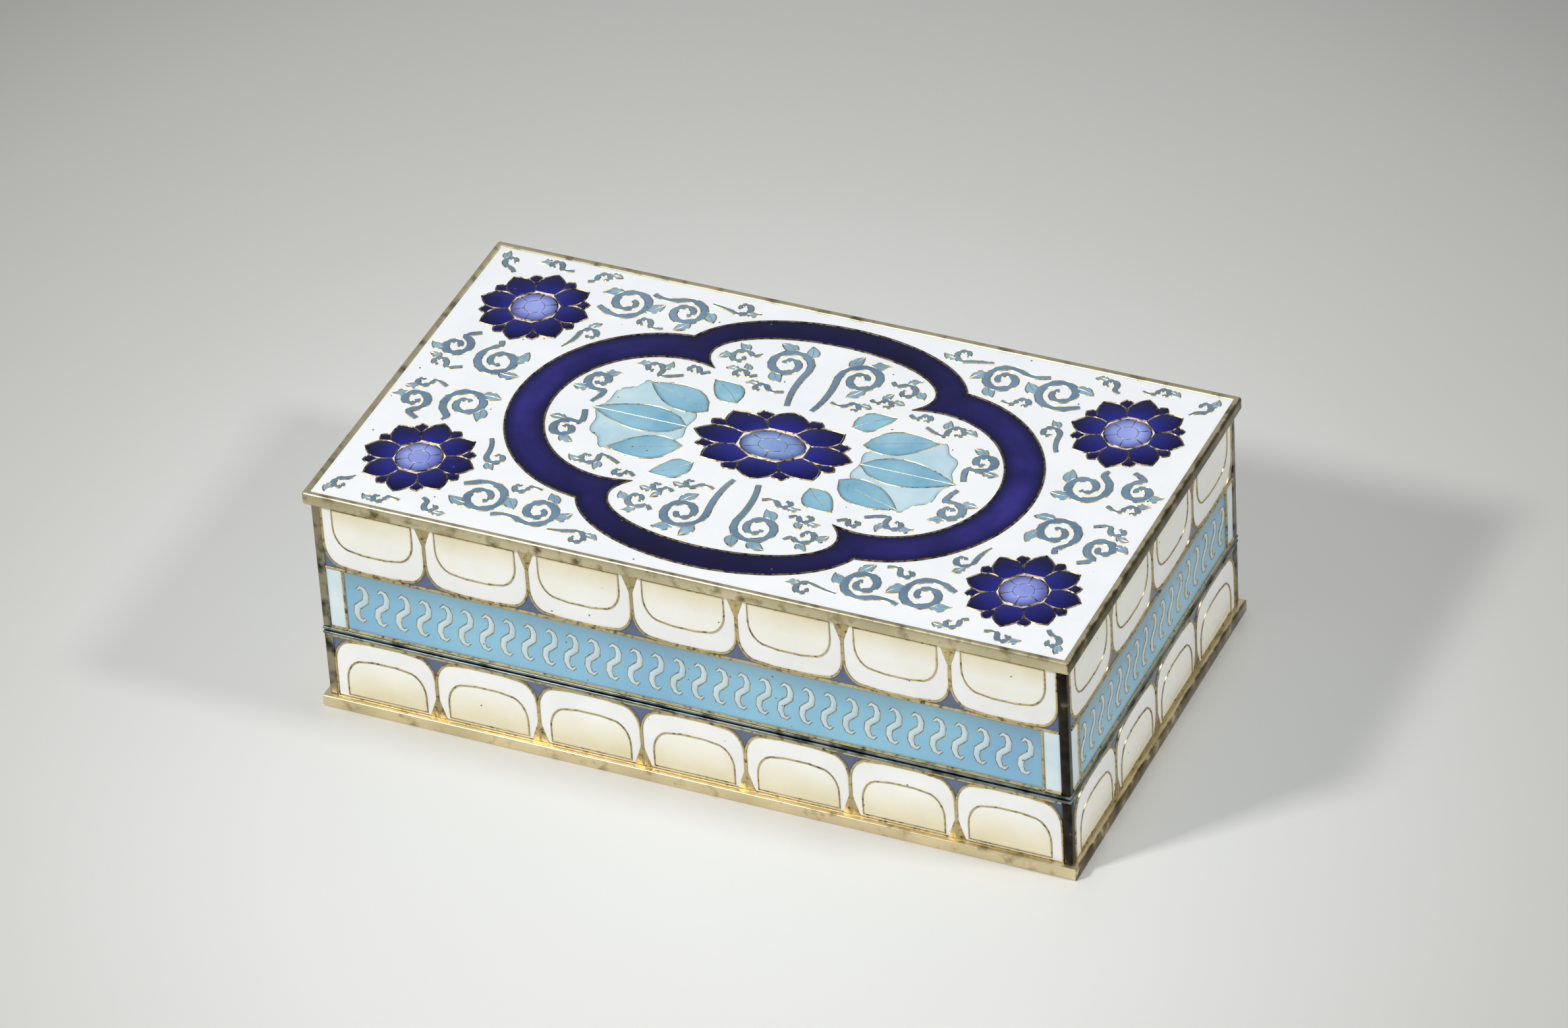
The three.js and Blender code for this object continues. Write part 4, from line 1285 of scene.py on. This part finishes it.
leaf_lines, leaf_ribs = [], []
for angle, half_width in SPRAY:
    turn = math.radians(angle)
    line, rib = leaf_line(
        on_oval(turn, SPRAY_INNER), on_oval(turn, SPRAY_OUTER), half_width, SPRAY_BOW * math.sin(turn))
    leaf_lines.append(line)
    leaf_ribs.append(rib)
spray = cells("leaf_spray_leaves", mirrored(leaf_lines, PAIR), CELL_LEVEL, SPRAY_SHOULDER, SPRAY_SWELL)
finish_piece(spray, "leaf_enamel", "cover", "turquoise_enamel", "leaf_spray_left", "leaf_spray_right")

# %% [markdown]
# ## Tendrils
# The white ground is filled with scrolling tendrils and small leaves. A tendril is a thin stroke of grey
# blue enamel between two wires, which leads in from a stem and winds up into a spiral. One quarter of
# the top is laid out, tendril by tendril, and mirrored to the other three, as with dividers.

# %% Tendril lines
TENDRIL_STEPS = 22
LEAD_STEPS = 6
SPIRAL_SHRINK = 0.78
LEAD_BEND = 0.55
QUARTER = (  # start, centre, size, angle where the spiral joins, hand, turns
    ((35.4, 21.6), (31.8, 23.6), 3.5, -60, -1, 1.5),
    ((29.2, 26.6), (23.4, 24.0), 3.0, 60, 1, 1.5),
    ((20.7, 27.1), (16.4, 27.6), 1.5, -70, -1, 0.9),
    ((44.4, 9.6), (42.8, 5.2), 3.4, 60, -1, 1.5),
    ((47.8, 10.4), (50.0, 6.6), 2.3, 110, 1, 1.25),
    ((49.8, 24.9), (51.0, 27.2), 1.3, -80, 1, 0.8),
    ((39.2, 26.3), (37.2, 27.8), 1.2, -20, 1, 0.8),
    ((1.8, 8.8), (5.4, 17.6), 3.3, 190, -1, 1.5),
    ((9.6, 18.6), (12.2, 17.0), 1.7, 140, -1, 1.0),
    ((27.1, 1.0), (27.9, 5.8), 2.1, 250, 1, 1.2),
    ((17.8, 10.6), (22.3, 10.7), 1.5, 200, -1, 0.9),
    ((3.5, 11.6), (6.9, 11.3), 1.1, 150, -1, 0.75),
    ((36.2, 11.2), (33.7, 14.9), 1.5, 0, 1, 0.9),
    ((24.9, 19.5), (28.0, 19.9), 1.15, 180, -1, 0.8),
    ((47.0, 2.4), (50.6, 2.3), 1.25, 180, -1, 0.8),
    ((42.0, 27.9), (45.0, 28.3), 1.05, 180, -1, 0.8),
    ((14.7, 12.5), (17.1, 12.2), 0.95, 180, -1, 0.8),
    ((8.4, 13.9), (10.8, 13.4), 1.1, 160, -1, 0.8),
)


def tendril(start, centre, size, join_angle, hand, turns):
    """Line from a start point, along a bend, into a spiral round a centre."""
    first = math.radians(join_angle)
    spiral = []
    for k in range(TENDRIL_STEPS + 1):
        share = k / TENDRIL_STEPS
        angle = first + hand * 2 * math.pi * turns * share
        radius = size * (1 - SPIRAL_SHRINK * share)
        spiral.append(Vector((centre[0] + radius * math.cos(angle), centre[1] + radius * math.sin(angle))))
    begin, entry = Vector(start), spiral[0]
    tangent = hand * Vector((-math.sin(first), math.cos(first)))
    bend = entry - tangent * (entry - begin).length * LEAD_BEND
    lead = []
    for k in range(LEAD_STEPS):
        share = k / LEAD_STEPS
        lead.append(begin * (1 - share) ** 2 + bend * 2 * share * (1 - share) + entry * share ** 2)
    return [tuple(p) for p in lead + spiral]


quarter_lines = [tendril(*setting) for setting in QUARTER]
print("tendrils in a quarter:", len(quarter_lines))

# %% [markdown]
# ## Small leaves
# Small leaves are tried at a few places along each tendril, and one that would run into a neighbour,
# the edge or a middle line is left out. What is taken is a list of points: those of all outlines, of
# the tendrils, and of the leaves that have found room.

# %% Small leaves
QUARTERS = ((1, 1), (-1, 1), (1, -1), (-1, -1))
BUD_SPOTS = ((0.08, 1), (0.2, -1), (0.3, 1), (0.4, 1), (0.5, 1), (0.6, 1))  # share of the line, and side
BUD_ROOM = 0.62
ROOT_ROOM = 1.3
BUD_SHOULDER = 0.14
BUD_LEAST, BUD_GROWTH = 1.4, 0.5  # length of a leaf, and how much it grows with the spiral's size
INNER_BUD = 0.7  # size of a leaf on the inside of a spiral
BUD_LEAN = (0.75, 0.66)  # its tip along the tendril and aside, as shares of its size
BUD_WIDTH = 0.29
BUD_BOW = 0.2
ROOT_GAP = 0.1
RING_STEPS = 48


def bud_leaf(root, ahead, hand, size):
    """Small leaf that grows to one side from a point of a tendril."""
    way = (ahead - root).normalized()
    side = Vector((-way.y, way.x)) * hand
    tip = root + (way * BUD_LEAN[0] + side * BUD_LEAN[1]) * size
    return leaf_line(root + side * ROOT_GAP, tip, size * BUD_WIDTH, BUD_BOW * hand)


def has_room(line, taken):
    for x, y in line:
        if min(x, y, GROUND_X - x, GROUND_Y - y) < BUD_ROOM:
            return False
    return all((Vector(spot) - other).length > BUD_ROOM for spot in line for other in taken)


outlines = [medallion_line(1), medallion_line(-1), pad_line] + leaf_lines
outlines += [oval_line(*spot, steps=RING_STEPS) for spot in (CENTRE, CORNERS[-1])]
taken = [Vector(spot) for line in outlines for spot in line]
bud_lines, bud_ribs = [], []
for setting, line in zip(QUARTER, quarter_lines):
    size, hand = BUD_LEAST + BUD_GROWTH * setting[2], -setting[4]
    others = [Vector(spot) for other in quarter_lines if other is not line for spot in other]
    for share, way in BUD_SPOTS:
        k = int(share * (len(line) - 2))
        root = Vector(line[k])
        bud, rib = bud_leaf(root, Vector(line[k + 1]), hand * way, size * (1.0 if way > 0 else INNER_BUD))
        own = [Vector(spot) for spot in line if (Vector(spot) - root).length > ROOT_ROOM]
        if has_room(bud, taken + others + own):
            bud_lines.append(bud)
            bud_ribs.append(rib)
            taken += [Vector(spot) for spot in bud]
print("small leaves in a quarter:", len(bud_lines))
buds = cells("small_leaves", mirrored(bud_lines, QUARTERS), CELL_LEVEL, BUD_SHOULDER)
finish_piece(buds, "bud_enamel", "cover", "turquoise_enamel")

# %% [markdown]
# ## Tendril strokes and wires
# The large tendrils are drawn with a wider stroke than the small curls. Each has a wire on both sides.
# The wires of the small leaves and of the sprays, with their midribs, join them in one piece.

# %% Tendril strokes and wires
TENDRIL_WIDTH = 1.05
CURL_WIDTH = 0.74
CURL_SIZE = 1.8  # tendrils up to this size are curls
TENDRIL_RISE = 0.1
TENDRIL_WIRE = 0.22


def tendril_taper(share):
    return 0.4 + 0.6 * math.sin(math.pi * min(1.0, 0.12 + 0.8 * share))


vines, lines = [], []
for width, curls in ((TENDRIL_WIDTH, False), (CURL_WIDTH, True)):
    chosen = [line for setting, line in zip(QUARTER, quarter_lines) if (setting[2] <= CURL_SIZE) == curls]
    tendrils = [flipped(line, *mirror) for mirror in QUARTERS for line in chosen]
    vines.append(strokes("tendril_strokes", tendrils, width, TENDRIL_RISE, CELL_LEVEL, tendril_taper))
    lines += [(beside(line, gap * width / 2, tendril_taper), False) for line in tendrils for gap in (1, -1)]
finish_piece(join("tendril_strokes", vines), "vine_enamel", "cover", "turquoise_enamel")
for outlines, ribs, mirrors in ((bud_lines, bud_ribs, QUARTERS), (leaf_lines, leaf_ribs, PAIR)):
    lines += [(line, True) for line in mirrored(outlines, mirrors)]
    lines += [(rib, False) for rib in mirrored(ribs, mirrors)]
finish_piece(wires("tendril_wires", lines, TENDRIL_WIRE, GROUND_LEVEL), "wire_gilt", "cover", "gilt")

# %% [markdown]
# ## Floor
# The box stands on a pale table. The floor is a wide plane, and a painted pool of light lies on it: its
# colour fades to grey with the distance from a bright spot in front of the box, by a ramp on its own
# Object coordinates.

# %% Floor
FLOOR_SIZE = 6
# painted pool of light: the floor is brightest at this spot and greys with the distance from it
LIGHT_POOL_CENTRE = (0.001, -0.026, 0)
LIGHT_POOL_REACH = (0.199, 0.256, 1)
LIGHT_POOL_GREYS = (240, 240, 237), (227, 227, 224), (200, 200, 196), (181, 181, 177), (150, 150, 146)
LIGHT_POOL_STOPS = (0.0, 0.3, 0.55, 0.78, 1.0)
FLOOR_GRAIN, FLOOR_GLOSS = 40, (0.55, 0.7)

let_go()
bpy.ops.mesh.primitive_plane_add(size=FLOOR_SIZE, location=(0, 0, 0))
floor = bpy.context.object
floor.name = "studio_floor"
tree, shader, place = new_finish("studio_floor")
light_pool = add_node(tree, "Mapping", {"Vector": place}, {
    "Location": LIGHT_POOL_CENTRE, "Rotation": (0, 0, CAMERA_TURN), "Scale": LIGHT_POOL_REACH}, vector_type="TEXTURE")
pooled_grey = shade(tree, length_of(tree, light_pool.outputs["Vector"]), LIGHT_POOL_STOPS, *LIGHT_POOL_GREYS)
dress(tree, shader, pooled_grey, spread(tree, noise(tree, place, FLOOR_GRAIN), *FLOOR_GLOSS))
floor.data.materials.append(finishes["studio_floor"])
print("floor", round(floor.dimensions.x, 1), "m wide")
